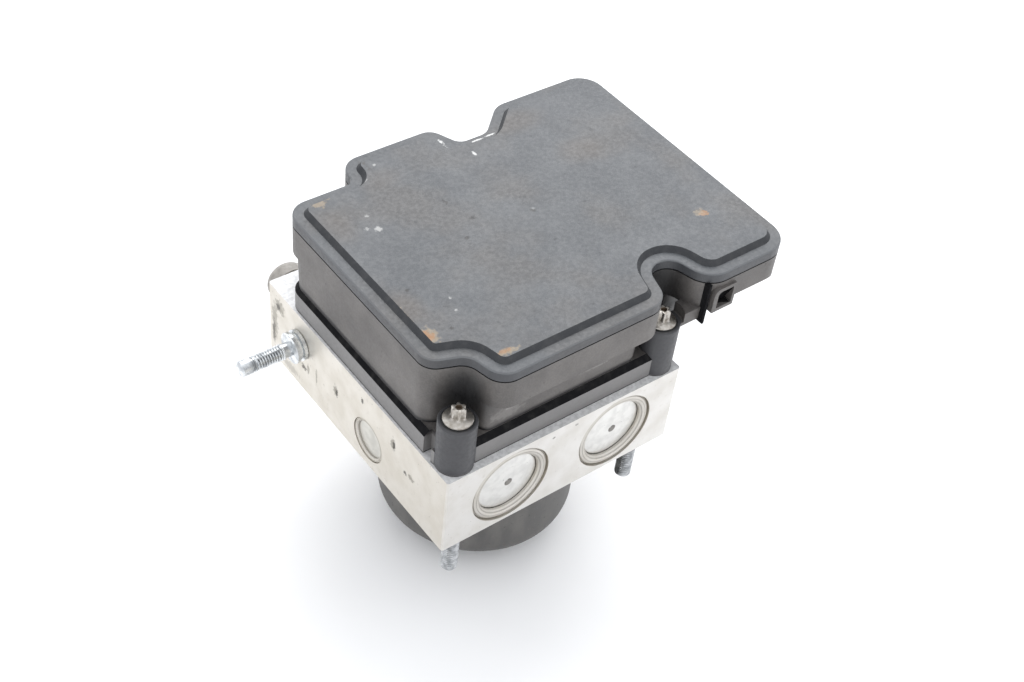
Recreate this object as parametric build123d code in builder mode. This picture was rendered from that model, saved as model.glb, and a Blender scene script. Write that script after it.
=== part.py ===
from build123d import *
import os

# Hydraulic unit of an anti-lock brake system: a drilled valve block, a pump motor under it
# and an electronic control unit on top. Millimetres, +Z up.
# Origin: on the motor axis, at the motor's end face, which the unit stands on.
# +X points to the side where the control unit overhangs the block, +Y to the pipe ports.

os.makedirs("parts", exist_ok=True)

# ---------------------------------------------------------------- driving dimensions
# valve block
BLOCK_W = 98.0
BLOCK_D = 110.0
BLOCK_H = 34.0
BLOCK_EDGE = 0.6
AXIS_FROM_FRONT = 45.0
LEFT = -BLOCK_W / 2
RIGHT = BLOCK_W / 2
FRONT = -AXIS_FROM_FRONT
BACK = BLOCK_D - AXIS_FROM_FRONT
FIT_GAP = 0.05

# motor
MOTOR_LENGTH = 48.5
CAN_R = 36.5
CAN_WALL = 1.8
CAN_CORNER = 10.0
CAN_FLANGE_R = 38.0
CAN_FLANGE_T = 2.2
CAN_SEAT_DEPTH = 1.6
END_STEP_H = 5.5
END_STEP_R = 21.0
END_STEP_BLEND = 2.0
SHAFT_R = 4.5
SHAFT_TIP_R = 3.0
ARMATURE_R = 25.5
ARMATURE_LOW = 16.5
ARMATURE_HIGH = 35.5
ARMATURE_SLOTS = 12
SLOT_W = 2.6
WINDING_R = 22.0
WINDING_H = 4.5
COMMUTATOR_R = 9.0
COMMUTATOR_H = 6.0
MAGNET_IN_R = 26.3
MAGNET_OUT_R = CAN_R - CAN_WALL
MAGNET_ARC = 74.0
MAGNET_COUNT = 4
ECCENTRICITY = 0.75
ECCENTRIC_R = 6.0
NEEDLE_RING_R = 9.5

BLOCK_Z = MOTOR_LENGTH
TOP_Z = BLOCK_Z + BLOCK_H

# pump
CHAMBER_R = 12.5
CHAMBER_DEPTH = 20.0
PUMP_Z = BLOCK_Z + 12.0
PUMP_RING_R = 8.6
PUMP_LIP_R = 7.1
PUMP_SEAT_R = 7.7
PUMP_BORE_R = 6.6
PUMP_SEAT_DEPTH = 1.2
PUMP_PLUG_T = 4.0
PISTON_R = 3.25
PISTON_LENGTH = 16.0
PUMP_STROKE = 2 * ECCENTRICITY
PISTON_INNER_X = NEEDLE_RING_R + ECCENTRICITY + PUMP_STROKE / 2 + 0.1

# low-pressure accumulators
CAP_X = 22.3
CAP_Z = BLOCK_Z + 17.0
CAP_RING_R = 15.6
CAP_LIP_R = 12.1
CAP_SEAT_R = 13.3
CAP_BORE_R = 12.0
CAP_SEAT_DEPTH = 2.2
CAP_DOME = 0.7
ROLL_FOOT = 0.6
ROLL_CREST = 0.2
CAP_T = 3.0
CAP_BORE_DEPTH = 22.0
CUP_LENGTH = 8.0

# valves and coils, in three rows of four
VALVE_X = (-33.0, -11.0, 11.0, 33.0)
OUTLET_ROW_Y = -14.0
INLET_ROW_Y = 12.0
CONTROL_ROW_Y = 38.0
VALVE_R = 4.4
VALVE_DEPTH = 11.5
VALVE_COLLAR_R = 5.4
VALVE_COLLAR_H = 1.5
DOME_R = 3.4
DOME_H = 15.0
COIL_R = 9.3
COIL_BORE_R = 3.8
COIL_H = 17.0
COIL_BASE = TOP_Z + VALVE_COLLAR_H + 0.4
SENSOR_Y = 25.0
SENSOR_R = 4.3

# pipe ports and fasteners
PORT_R = 5.5
PORT_DEPTH = 15.0
PORT_X = (-34.0, -11.3, 11.3, 34.0)
PORT_Z = BLOCK_Z + 17.0
INLET_X = 36.0
INLET_Y = 50.0
INLET_DEPTH = 10.5
STUD_R = 3.0
STUD_ROOT_R = 2.5
STUD_DEPTH = 11.0
BASE_STUD_X = 39.2
BASE_STUD_Y = FRONT + 7.4
BASE_STUD_OUT = 22.5
SIDE_STUD_Y = 43.7
SIDE_STUD_Z = BLOCK_Z + 21.0
SIDE_STUD_OUT = 24.3
SCREW_R = 2.4
SCREW_HOLE_R = 2.5
SCREW_DEPTH = 10.0

# control unit, plan sizes measured from the block's front left corner
BOSS_R = 6.5
BOSS_H = 20.0
BOSS_BORE_R = 2.9
FRONT_BOSSES = ((7.2, 7.0), (91.0, 7.0))
BACK_BOSSES = ((20.0, 106.0), (80.4, 106.0))
FLANGE_IN_X = 0.9
FLANGE_IN_Y = 2.9
FLANGE_H = 9.6
FLANGE_BEVEL = 2.0
FLANGE_BACK = 107.0
FLANGE_CORNER_Y = 98.5
WALL_IN_X = 2.6
WALL_IN_Y = 4.6
WALL_T = 2.2
TRAY_LOW = 56.8
TRAY_H = 11.9
TRAY_FLOOR_T = 2.0
TRAY_LEFT = 1.8
TRAY_FRONT = 0.2
TRAY_RIGHT = 141.0
TRAY_BACK = 113.5
TRAY_STEP_Y = 102.0
COVER_RIM_H = 3.6
COVER_RIM_ROUND = 0.5
COVER_FIELD_H = 2.0
COVER_RIM_W = 3.8
COVER_SKIN = 2.0
SEAM_GAP = 0.45
SEAM_DEPTH = 0.8
TRAY_Z = BLOCK_Z + TRAY_LOW
SEAM_Z = TRAY_Z + TRAY_H
RIM_Z = SEAM_Z + COVER_RIM_H

# plug connector under the overhang
SHROUD_X = 120.0
SHROUD_Y = 55.0
SHROUD_W = 30.0
SHROUD_L = 72.0
SHROUD_CORNER = 4.0
SHROUD_WALL = 2.2
SHROUD_LOW = BLOCK_Z + 37.0
PIN_W = 0.64
PIN_PITCH = 4.0
PIN_ROWS = 3
PINS_A_ROW = 10
BLADE_W = 4.8
BLADE_T = 0.8
PIN_LOW = SHROUD_LOW + 7.0
CARRIER_W = 14.0
CARRIER_L = 58.0

# circuit board
BOARD_Z = TRAY_Z + TRAY_FLOOR_T + 3.0
BOARD_T = 1.6
BOARD_INSET = 3.6

# working planes
back_face = Plane(origin=(0, BACK, 0), x_dir=(-1, 0, 0), z_dir=(0, 1, 0))
left_face = Plane(origin=(LEFT, 0, 0), x_dir=(0, -1, 0), z_dir=(-1, 0, 0))
bottom_face = Plane(origin=(0, 0, BLOCK_Z), x_dir=(1, 0, 0), z_dir=(0, 0, -1))
top_face = Plane(origin=(0, 0, TOP_Z))


def corner_plane(height):
    """Horizontal plane at a height, measured from the block's front left corner."""
    return Plane(origin=(LEFT, FRONT, height))


def staked_seat(ring_r, lip_r, seat_r, bore_r, seat_depth, cap_t, bore_depth):
    """Half section (depth, radius) of a bore whose rim is rolled over a round cap."""
    roll_depth = seat_depth * ROLL_FOOT
    with BuildSketch() as section:
        with BuildLine():
            Polyline((-1, 0), (-1, ring_r), (roll_depth, ring_r))
            ThreePointArc(
                (roll_depth, ring_r),
                (roll_depth * ROLL_CREST, (ring_r + lip_r) / 2),
                (roll_depth, lip_r),
            )
            Polyline(
                (roll_depth, lip_r),
                (seat_depth, lip_r),
                (seat_depth, seat_r),
                (seat_depth + cap_t, seat_r),
                (seat_depth + cap_t, bore_r),
                (bore_depth, bore_r),
                (bore_depth, 0),
                (-1, 0),
            )
        make_face()
    return section.sketch


def inward_plane(x, y, z, direction):
    """Plane of a half section whose local X points into the block along a direction."""
    across = Vector(0, 0, 1).cross(Vector(*direction))
    return Plane(origin=(x, y, z), x_dir=direction, z_dir=-across)


cap_seat = staked_seat(
    CAP_RING_R, CAP_LIP_R, CAP_SEAT_R, CAP_BORE_R, CAP_SEAT_DEPTH, CAP_T, CAP_BORE_DEPTH
)
pump_seat = staked_seat(
    PUMP_RING_R,
    PUMP_LIP_R,
    PUMP_SEAT_R,
    PUMP_BORE_R,
    PUMP_SEAT_DEPTH,
    PUMP_PLUG_T,
    RIGHT - CHAMBER_R + 1,
)
sides = {"left": -1, "right": 1}
cap_planes = {side: inward_plane(s * CAP_X, FRONT, CAP_Z, (0, 1, 0)) for side, s in sides.items()}
pump_planes = {side: inward_plane(s * RIGHT, 0, PUMP_Z, (-s, 0, 0)) for side, s in sides.items()}
outlet_valve_places = [(x, OUTLET_ROW_Y) for x in VALVE_X]
inlet_valve_places = [(x, INLET_ROW_Y) for x in VALVE_X]
switch_valve_places = [(x, CONTROL_ROW_Y) for x in (VALVE_X[0], VALVE_X[3])]
suction_valve_places = [(x, CONTROL_ROW_Y) for x in (VALVE_X[1], VALVE_X[2])]
valve_places = outlet_valve_places + inlet_valve_places + switch_valve_places + suction_valve_places
screw_places = [(LEFT + x, FRONT + y) for x, y in FRONT_BOSSES + BACK_BOSSES]
base_stud_places = [(s * BASE_STUD_X, BASE_STUD_Y) for s in (-1, 1)]
inlet_places = [(s * INLET_X, INLET_Y) for s in (-1, 1)]

# ---------------------------------------------------------------- valve block
with BuildPart() as valve_block:
    with BuildSketch(corner_plane(BLOCK_Z)):
        Rectangle(BLOCK_W, BLOCK_D, align=(Align.MIN, Align.MIN))
    extrude(amount=BLOCK_H)
    chamfer(valve_block.edges().filter_by(Axis.Z), BLOCK_EDGE)
    # seat of the motor flange, with the chamber of the eccentric above it
    with Locations(bottom_face):
        Hole(CAN_FLANGE_R + FIT_GAP, CAN_SEAT_DEPTH)
        Hole(CHAMBER_R, CHAMBER_DEPTH)
    # staked seats of the accumulator caps and of the pump elements
    for plane in cap_planes.values():
        cut = plane.location * cap_seat
        revolve(cut, axis=Axis(plane.origin, plane.x_dir), mode=Mode.SUBTRACT)
    for plane in pump_planes.values():
        cut = plane.location * pump_seat
        revolve(cut, axis=Axis(plane.origin, plane.x_dir), mode=Mode.SUBTRACT)
    # valve and sensor bores, screw holes
    with Locations(top_face):
        with Locations(*valve_places):
            Hole(VALVE_R + FIT_GAP, VALVE_DEPTH)
        with Locations((0, SENSOR_Y)):
            Hole(SENSOR_R + FIT_GAP, VALVE_DEPTH)
        with Locations(*screw_places):
            Hole(SCREW_HOLE_R, SCREW_DEPTH)
    # pipe ports: outlets on the back face, inlets beside the motor
    with Locations(back_face):
        with Locations(*[(-x, PORT_Z) for x in PORT_X]):
            Hole(PORT_R, PORT_DEPTH)
    with Locations(bottom_face):
        with Locations(*[(x, -y) for x, y in inlet_places]):
            Hole(PORT_R, INLET_DEPTH)
        with Locations(*[(x, -y) for x, y in base_stud_places]):
            Hole(STUD_ROOT_R + FIT_GAP, STUD_DEPTH)
    with Locations(left_face):
        with Locations((-SIDE_STUD_Y, SIDE_STUD_Z)):
            Hole(STUD_ROOT_R + FIT_GAP, STUD_DEPTH)
valve_block.part.label = "valve_block"
export_step(valve_block.part, "parts/valve_block.step")

# ---------------------------------------------------------------- motor
RING_FACE_Z = END_STEP_H
FLANGE_TOP_Z = BLOCK_Z + CAN_SEAT_DEPTH
with BuildPart() as motor_can:
    with BuildSketch(Plane.XZ):
        with BuildLine():
            outer = FilletPolyline(
                (0, 0),
                (END_STEP_R, 0),
                (END_STEP_R + END_STEP_BLEND, RING_FACE_Z),
                (CAN_R, RING_FACE_Z),
                (CAN_R, FLANGE_TOP_Z - CAN_FLANGE_T),
                (CAN_FLANGE_R, FLANGE_TOP_Z - CAN_FLANGE_T),
                (CAN_FLANGE_R, FLANGE_TOP_Z),
                radius=(END_STEP_BLEND, END_STEP_BLEND, CAN_CORNER, 0.8, 0.4),
            )
            inner = FilletPolyline(
                (0, CAN_WALL),
                (END_STEP_R - CAN_WALL, CAN_WALL),
                (END_STEP_R + END_STEP_BLEND - CAN_WALL, RING_FACE_Z + CAN_WALL),
                (CAN_R - CAN_WALL, RING_FACE_Z + CAN_WALL),
                (CAN_R - CAN_WALL, FLANGE_TOP_Z),
                radius=(END_STEP_BLEND / 2, END_STEP_BLEND, CAN_CORNER - CAN_WALL),
            )
            Line(outer @ 0, inner @ 0)
            Line(outer @ 1, inner @ 1)
        make_face()
    revolve(axis=Axis.Z)
motor_can.part.label = "motor_can"
export_step(motor_can.part, "parts/motor_can.step")

BEARING_LOW_Z = CAN_WALL + 1.0
BEARING_H = 5.0
BEARING_R = 11.0
BLOCK_BEARING_Z = BLOCK_Z + 1.0
with BuildPart() as ball_bearings:
    for height, radius in ((BEARING_LOW_Z, BEARING_R), (BLOCK_BEARING_Z, CHAMBER_R - FIT_GAP)):
        with BuildSketch(Plane.XY.offset(height)):
            Circle(radius)
            Circle(SHAFT_R + FIT_GAP, mode=Mode.SUBTRACT)
        extrude(amount=BEARING_H)
ball_bearings.part.label = "ball_bearings"
export_step(ball_bearings.part, "parts/ball_bearings.step")

with BuildPart() as bearing_holder:
    with BuildSketch(Plane.XY.offset(CAN_WALL)):
        Circle(END_STEP_R - 2 * CAN_WALL)
    extrude(amount=BEARING_LOW_Z - CAN_WALL + BEARING_H)
    with BuildSketch(Plane.XY.offset(BEARING_LOW_Z)):
        Circle(BEARING_R + FIT_GAP)
    extrude(amount=BEARING_H + 1, mode=Mode.SUBTRACT)
bearing_holder.part.label = "bearing_holder"
export_step(bearing_holder.part, "parts/bearing_holder.step")

with BuildPart() as magnets:
    with BuildSketch(Plane.XY.offset(ARMATURE_LOW - 1)):
        Circle(MAGNET_OUT_R)
        Circle(MAGNET_IN_R, mode=Mode.SUBTRACT)
        gap_w = 2 * MAGNET_OUT_R * (90 - MAGNET_ARC) / 90 / 2
        for turn in range(MAGNET_COUNT // 2):
            Rectangle(2.2 * MAGNET_OUT_R, gap_w, rotation=45 + 90 * turn, mode=Mode.SUBTRACT)
    extrude(amount=ARMATURE_HIGH - ARMATURE_LOW + 1)
magnets.part.label = "magnets"
export_step(magnets.part, "parts/magnets.step")

with BuildPart() as motor_shaft:
    journal_z = BLOCK_BEARING_Z + BEARING_H + 1.0
    with BuildSketch(Plane.XY.offset(BEARING_LOW_Z + 0.3)):
        Circle(SHAFT_R)
    extrude(amount=journal_z - BEARING_LOW_Z - 0.3)
    journal_top = PUMP_Z + 4.5
    with BuildSketch(Plane.XY.offset(journal_z)):
        with Locations((0, ECCENTRICITY)):
            Circle(ECCENTRIC_R)
    extrude(amount=journal_top - journal_z)
    with BuildSketch(Plane.XY.offset(journal_top)):
        Circle(SHAFT_TIP_R)
    extrude(amount=2)
motor_shaft.part.label = "motor_shaft"
export_step(motor_shaft.part, "parts/motor_shaft.step")

with BuildPart() as needle_ring:
    with BuildSketch(Plane.XY.offset(journal_z + 0.3)):
        with Locations((0, ECCENTRICITY)):
            Circle(NEEDLE_RING_R)
            Circle(ECCENTRIC_R, mode=Mode.SUBTRACT)
    extrude(amount=journal_top - journal_z - 0.3)
needle_ring.part.label = "needle_ring"
export_step(needle_ring.part, "parts/needle_ring.step")

with BuildPart() as armature:
    with BuildSketch(Plane.XY.offset(ARMATURE_LOW)):
        Circle(ARMATURE_R)
        Circle(SHAFT_R, mode=Mode.SUBTRACT)
        with PolarLocations(ARMATURE_R, ARMATURE_SLOTS):
            Rectangle(2 * SLOT_W, SLOT_W, mode=Mode.SUBTRACT)
    extrude(amount=ARMATURE_HIGH - ARMATURE_LOW)
armature.part.label = "armature"
export_step(armature.part, "parts/armature.step")

with BuildPart() as windings:
    for height in (ARMATURE_LOW - WINDING_H, ARMATURE_HIGH):
        with BuildSketch(Plane.XY.offset(height)):
            Circle(WINDING_R)
            Circle(SHAFT_R + 1.5, mode=Mode.SUBTRACT)
        extrude(amount=WINDING_H)
    fillet(windings.edges().group_by(Axis.Z)[0].sort_by(SortBy.LENGTH)[-1], 1.8)
    fillet(windings.edges().group_by(Axis.Z)[-1].sort_by(SortBy.LENGTH)[-1], 1.8)
windings.part.label = "windings"
export_step(windings.part, "parts/windings.step")

COMMUTATOR_Z = ARMATURE_HIGH + WINDING_H + 0.2
with BuildPart() as commutator:
    with BuildSketch(Plane.XY.offset(COMMUTATOR_Z)):
        Circle(COMMUTATOR_R)
        Circle(SHAFT_R, mode=Mode.SUBTRACT)
        with PolarLocations(COMMUTATOR_R, ARMATURE_SLOTS):
            Rectangle(1.6, 0.6, mode=Mode.SUBTRACT)
    extrude(amount=COMMUTATOR_H)
commutator.part.label = "commutator"
export_step(commutator.part, "parts/commutator.step")

BRUSH_PLATE_Z = COMMUTATOR_Z + COMMUTATOR_H + 0.4
BRUSH_W = 5.0
BRUSH_IN_R = COMMUTATOR_R + 0.4
BRUSH_OUT_R = 20.0
with BuildPart() as brush_plate:
    with BuildSketch(Plane.XY.offset(BRUSH_PLATE_Z)):
        Circle(MAGNET_OUT_R - 0.3)
        Circle(CHAMBER_R + 1, mode=Mode.SUBTRACT)
    extrude(amount=BLOCK_Z - BRUSH_PLATE_Z)
    for side in sides.values():
        with BuildSketch(Plane.XY.offset(BRUSH_PLATE_Z)):
            with Locations((side * (BRUSH_IN_R + BRUSH_OUT_R + 3) / 2, 0)):
                Rectangle(BRUSH_OUT_R - BRUSH_IN_R - 1, BRUSH_W + 3)
                Rectangle(BRUSH_OUT_R - BRUSH_IN_R + 2, BRUSH_W + 0.2, mode=Mode.SUBTRACT)
        extrude(amount=-COMMUTATOR_H)
brush_plate.part.label = "brush_plate"
export_step(brush_plate.part, "parts/brush_plate.step")

with BuildPart() as brushes:
    with BuildSketch(Plane.XY.offset(COMMUTATOR_Z + 0.5)):
        with Locations(*[(side * (BRUSH_IN_R + BRUSH_OUT_R) / 2, 0) for side in sides.values()]):
            Rectangle(BRUSH_OUT_R - BRUSH_IN_R, BRUSH_W)
    extrude(amount=COMMUTATOR_H - 1)
brushes.part.label = "brushes"
export_step(brushes.part, "parts/brushes.step")

# ---------------------------------------------------------------- pump elements and pistons
BARREL_INNER_X = 15.0
BARREL_BORE_R = PISTON_R + FIT_GAP
SPRING_ROOM_R = 4.4
SPRING_ROOM_X = 26.5
PLUG_INNER_X = RIGHT - PUMP_SEAT_DEPTH - PUMP_PLUG_T
PLUG_OUTER_X = RIGHT - PUMP_SEAT_DEPTH
PISTON_OUTER_X = PISTON_INNER_X + PISTON_LENGTH


def wire_spring(start, direction, radius, wire_r, length, turns):
    """Coil spring standing on a point, its axis along a direction."""
    stand = Plane(origin=start, z_dir=direction)
    coil = Helix(pitch=length / turns, height=length, radius=radius)
    coil = stand.location * coil
    across = Plane(origin=coil @ 0, z_dir=coil % 0)
    return sweep(across * Circle(wire_r), path=coil)


for side, s in sides.items():
    with BuildPart() as pump_element:
        with BuildSketch(Plane(origin=(0, 0, PUMP_Z), x_dir=(1, 0, 0), z_dir=(0, -1, 0))):
            with BuildLine():
                Polyline(
                    (s * BARREL_INNER_X, BARREL_BORE_R),
                    (s * BARREL_INNER_X, PUMP_BORE_R - FIT_GAP),
                    (s * PLUG_INNER_X, PUMP_BORE_R - FIT_GAP),
                    (s * PLUG_INNER_X, PUMP_SEAT_R - FIT_GAP),
                    (s * (PLUG_OUTER_X - 0.4), PUMP_SEAT_R - FIT_GAP),
                    (s * PLUG_OUTER_X, PUMP_SEAT_R - FIT_GAP - 0.4),
                    (s * PLUG_OUTER_X, 0),
                    (s * (PLUG_INNER_X - 3), 0),
                    (s * (PLUG_INNER_X - 3), SPRING_ROOM_R),
                    (s * SPRING_ROOM_X, SPRING_ROOM_R),
                    (s * SPRING_ROOM_X, BARREL_BORE_R),
                    close=True,
                )
            make_face()
        revolve(axis=Axis((0, 0, PUMP_Z), (1, 0, 0)))
    pump_element.part.label = f"pump_element_{side}"
    export_step(pump_element.part, f"parts/pump_element_{side}.step")

    with BuildPart() as pump_piston:
        with BuildSketch(Plane(origin=(s * PISTON_INNER_X, 0, PUMP_Z), z_dir=(s, 0, 0))):
            Circle(PISTON_R)
        extrude(amount=PISTON_LENGTH)
        chamfer(pump_piston.edges().filter_by(GeomType.CIRCLE), 0.4)
    pump_piston.part.label = f"pump_piston_{side}"
    export_step(pump_piston.part, f"parts/pump_piston_{side}.step")

    spring_x = PISTON_OUTER_X + PUMP_STROKE / 2 + 0.8
    pump_spring = wire_spring(
        (s * spring_x, 0, PUMP_Z), (s, 0, 0), 3.2, 0.45, PLUG_INNER_X - 3.5 - spring_x, 6
    )
    pump_spring.label = f"pump_spring_{side}"
    export_step(pump_spring, f"parts/pump_spring_{side}.step")

# ---------------------------------------------------------------- low-pressure accumulators
CUP_Y = FRONT + CAP_BORE_DEPTH - CUP_LENGTH
CUP_WALL = 1.6
CUP_FLOOR = 3.0
SEAL_R = 0.95
SEAL_GROOVE_R = CAP_BORE_R - FIT_GAP - 1.8
SEAL_Y = CUP_Y + CUP_LENGTH - 2.6
DIMPLE_R = 1.5
DIMPLE_DEPTH = 0.9
CAP_EDGE = 0.6
for side, s in sides.items():
    axis_plane = cap_planes[side]
    with BuildPart() as accumulator_cap:
        with BuildSketch(axis_plane):
            with BuildLine():
                Polyline(
                    (CAP_SEAT_DEPTH - CAP_DOME + DIMPLE_DEPTH, 0),
                    (CAP_SEAT_DEPTH - CAP_DOME + DIMPLE_DEPTH, DIMPLE_R * 0.5),
                    (CAP_SEAT_DEPTH - CAP_DOME, DIMPLE_R),
                    (CAP_SEAT_DEPTH - CAP_DOME * 0.8, CAP_LIP_R * 0.6),
                    (CAP_SEAT_DEPTH, CAP_LIP_R - CAP_EDGE),
                    (CAP_SEAT_DEPTH + CAP_EDGE, CAP_SEAT_R - FIT_GAP),
                    (CAP_SEAT_DEPTH + CAP_T, CAP_SEAT_R - FIT_GAP),
                    (CAP_SEAT_DEPTH + CAP_T, 0),
                    close=True,
                )
            make_face()
        revolve(axis=Axis(axis_plane.origin, axis_plane.x_dir))
    accumulator_cap.part.label = f"accumulator_cap_{side}"
    export_step(accumulator_cap.part, f"parts/accumulator_cap_{side}.step")

    with BuildPart() as accumulator_piston:
        with BuildSketch(Plane(origin=(s * CAP_X, CUP_Y, CAP_Z), z_dir=(0, 1, 0))):
            Circle(CAP_BORE_R - FIT_GAP)
        extrude(amount=CUP_LENGTH)
        with BuildSketch(Plane(origin=(s * CAP_X, CUP_Y, CAP_Z), z_dir=(0, 1, 0))):
            Circle(SEAL_GROOVE_R - CUP_WALL)
        extrude(amount=CUP_LENGTH - CUP_FLOOR, mode=Mode.SUBTRACT)
        with BuildSketch(Plane(origin=(s * CAP_X, SEAL_Y - 1.1, CAP_Z), z_dir=(0, 1, 0))):
            Circle(CAP_BORE_R)
            Circle(SEAL_GROOVE_R, mode=Mode.SUBTRACT)
        extrude(amount=2.2, mode=Mode.SUBTRACT)
    accumulator_piston.part.label = f"accumulator_piston_{side}"
    export_step(accumulator_piston.part, f"parts/accumulator_piston_{side}.step")

    with BuildPart() as accumulator_seal:
        with Locations(Plane(origin=(s * CAP_X, SEAL_Y, CAP_Z), z_dir=(0, 1, 0))):
            Torus(CAP_BORE_R - FIT_GAP - SEAL_R, SEAL_R - 0.1)
    accumulator_seal.part.label = f"accumulator_seal_{side}"
    export_step(accumulator_seal.part, f"parts/accumulator_seal_{side}.step")

    spring_y = FRONT + CAP_SEAT_DEPTH + CAP_T + 1.0
    spring_length = CUP_Y + CUP_LENGTH - CUP_FLOOR - 1.0 - spring_y
    accumulator_spring = wire_spring(
        (s * CAP_X, spring_y, CAP_Z), (0, 1, 0), 6.8, 0.8, spring_length, 4
    )
    accumulator_spring.label = f"accumulator_spring_{side}"
    export_step(accumulator_spring, f"parts/accumulator_spring_{side}.step")

# ---------------------------------------------------------------- valve cartridges and coils
valve_sets = {
    "inlet_valves": inlet_valve_places,
    "outlet_valves": outlet_valve_places,
    "switching_valves": switch_valve_places,
    "suction_valves": suction_valve_places,
}
for name, places in valve_sets.items():
    with BuildPart() as valves:
        with BuildSketch(Plane.XY.offset(TOP_Z - VALVE_DEPTH)):
            with Locations(*places):
                Circle(VALVE_R)
        extrude(amount=VALVE_DEPTH)
        with BuildSketch(top_face):
            with Locations(*places):
                Circle(VALVE_COLLAR_R)
        extrude(amount=VALVE_COLLAR_H)
        with BuildSketch(Plane.XY.offset(TOP_Z + VALVE_COLLAR_H)):
            with Locations(*places):
                Circle(DOME_R)
        extrude(amount=DOME_H)
        fillet(valves.edges().group_by(Axis.Z)[-1], DOME_R * 0.8)
    valves.part.label = name
    export_step(valves.part, f"parts/{name}.step")

COIL_PIN_R = 0.35
COIL_PIN_OUT = 6.5
COIL_SLOT_W = 1.8
coil_pin_places = [(x + s * COIL_PIN_OUT, y) for x, y in valve_places for s in (-1, 1)]
with BuildPart() as valve_coils:
    with BuildSketch(Plane.XY.offset(COIL_BASE)):
        with Locations(*valve_places):
            Circle(COIL_R)
            Circle(COIL_BORE_R, mode=Mode.SUBTRACT)
    extrude(amount=COIL_H)
    with BuildSketch(Plane.XY.offset(COIL_BASE + COIL_H)):
        with Locations(*coil_pin_places):
            Circle(COIL_PIN_R)
    extrude(amount=BOARD_Z - COIL_BASE - COIL_H)
valve_coils.part.label = "valve_coils"
export_step(valve_coils.part, "parts/valve_coils.step")

SENSOR_TOP = TRAY_Z - 3.0
with BuildPart() as pressure_sensor:
    with BuildSketch(Plane.XY.offset(TOP_Z - VALVE_DEPTH)):
        with Locations((0, SENSOR_Y)):
            Circle(SENSOR_R)
    extrude(amount=SENSOR_TOP - TOP_Z + VALVE_DEPTH)
    with BuildSketch(Plane.XY.offset(SENSOR_TOP)):
        with Locations((0, SENSOR_Y)):
            Circle(SENSOR_R * 0.6)
    extrude(amount=1.5)
pressure_sensor.part.label = "pressure_sensor"
export_step(pressure_sensor.part, "parts/pressure_sensor.step")

# ---------------------------------------------------------------- control unit outlines
LEFT_NOTCH_Y = (18.1, 13.5)
LEFT_NOTCH_X = (14.5, 17.55)
RIGHT_NOTCH_X = (84.3, 88.7, 98.8, 102.9)
RIGHT_NOTCH_Y = 15.9
BACK_NOTCH_X = (69.0, 73.9, 85.6, 98.1)
BACK_LEFT_X = (29.6, 30.0)
WALL_RIGHT = 95.0
WALL_BACK = 98.2
WALL_NOTCH_X = (16.7, 81.0)
WALL_NOTCH_IN = 0.15
WALL_BACK_X = (29.5, 31.0, 69.0, 71.5)
FLANGE_RIGHT = 97.1
FLANGE_LUG_X = (12.5, 13.2)


def rounded(*corners):
    """Face of a closed outline given as (x, y, corner radius)."""
    with BuildSketch() as face:
        with BuildLine():
            FilletPolyline(
                *[(x, y) for x, y, _ in corners], radius=[r for _, _, r in corners], close=True
            )
        make_face()
    return face.sketch


def inset(corners, distance, least=0.3):
    """Corners moved inwards; outer corners get tighter and inner ones wider."""
    moved = []
    for before, here, after in zip(corners[-1:] + corners[:-1], corners, corners[1:] + corners[:1]):
        into = Vector(here[0] - before[0], here[1] - before[1]).normalized()
        away = Vector(after[0] - here[0], after[1] - here[1]).normalized()
        side_in = Vector(-into.Y, into.X)
        side_out = Vector(-away.Y, away.X)
        shift = (side_in + side_out) * (distance / (1 + side_in.dot(side_out)))
        turns_left = into.cross(away).Z > 0
        radius = here[2] - distance if turns_left else here[2] + distance
        moved.append((here[0] + shift.X, here[1] + shift.Y, max(radius, least)))
    return moved


def at_height(face, height):
    """The face moved onto a horizontal plane measured from the block's corner."""
    return corner_plane(height).location * face.face()


tray_corners = [
    (TRAY_LEFT, LEFT_NOTCH_Y[0], 6.5),
    (LEFT_NOTCH_X[0], LEFT_NOTCH_Y[1], 6.5),
    (LEFT_NOTCH_X[1], TRAY_FRONT, 7.6),
    (RIGHT_NOTCH_X[0], TRAY_FRONT, 8.0),
    (RIGHT_NOTCH_X[1], RIGHT_NOTCH_Y, 6.4),
    (RIGHT_NOTCH_X[2], RIGHT_NOTCH_Y, 6.4),
    (RIGHT_NOTCH_X[3], TRAY_FRONT, 10.0),
    (TRAY_RIGHT, TRAY_FRONT, 10.0),
    (TRAY_RIGHT, TRAY_BACK, 9.0),
    (BACK_NOTCH_X[3], TRAY_BACK, 9.0),
    (BACK_NOTCH_X[2], TRAY_STEP_Y, 7.0),
    (BACK_NOTCH_X[1], TRAY_STEP_Y, 4.5),
    (BACK_NOTCH_X[0], TRAY_BACK, 6.0),
    (BACK_LEFT_X[1], TRAY_BACK, 8.0),
    (BACK_LEFT_X[0], TRAY_STEP_Y, 3.0),
    (TRAY_LEFT, TRAY_STEP_Y, 8.0),
]
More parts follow.
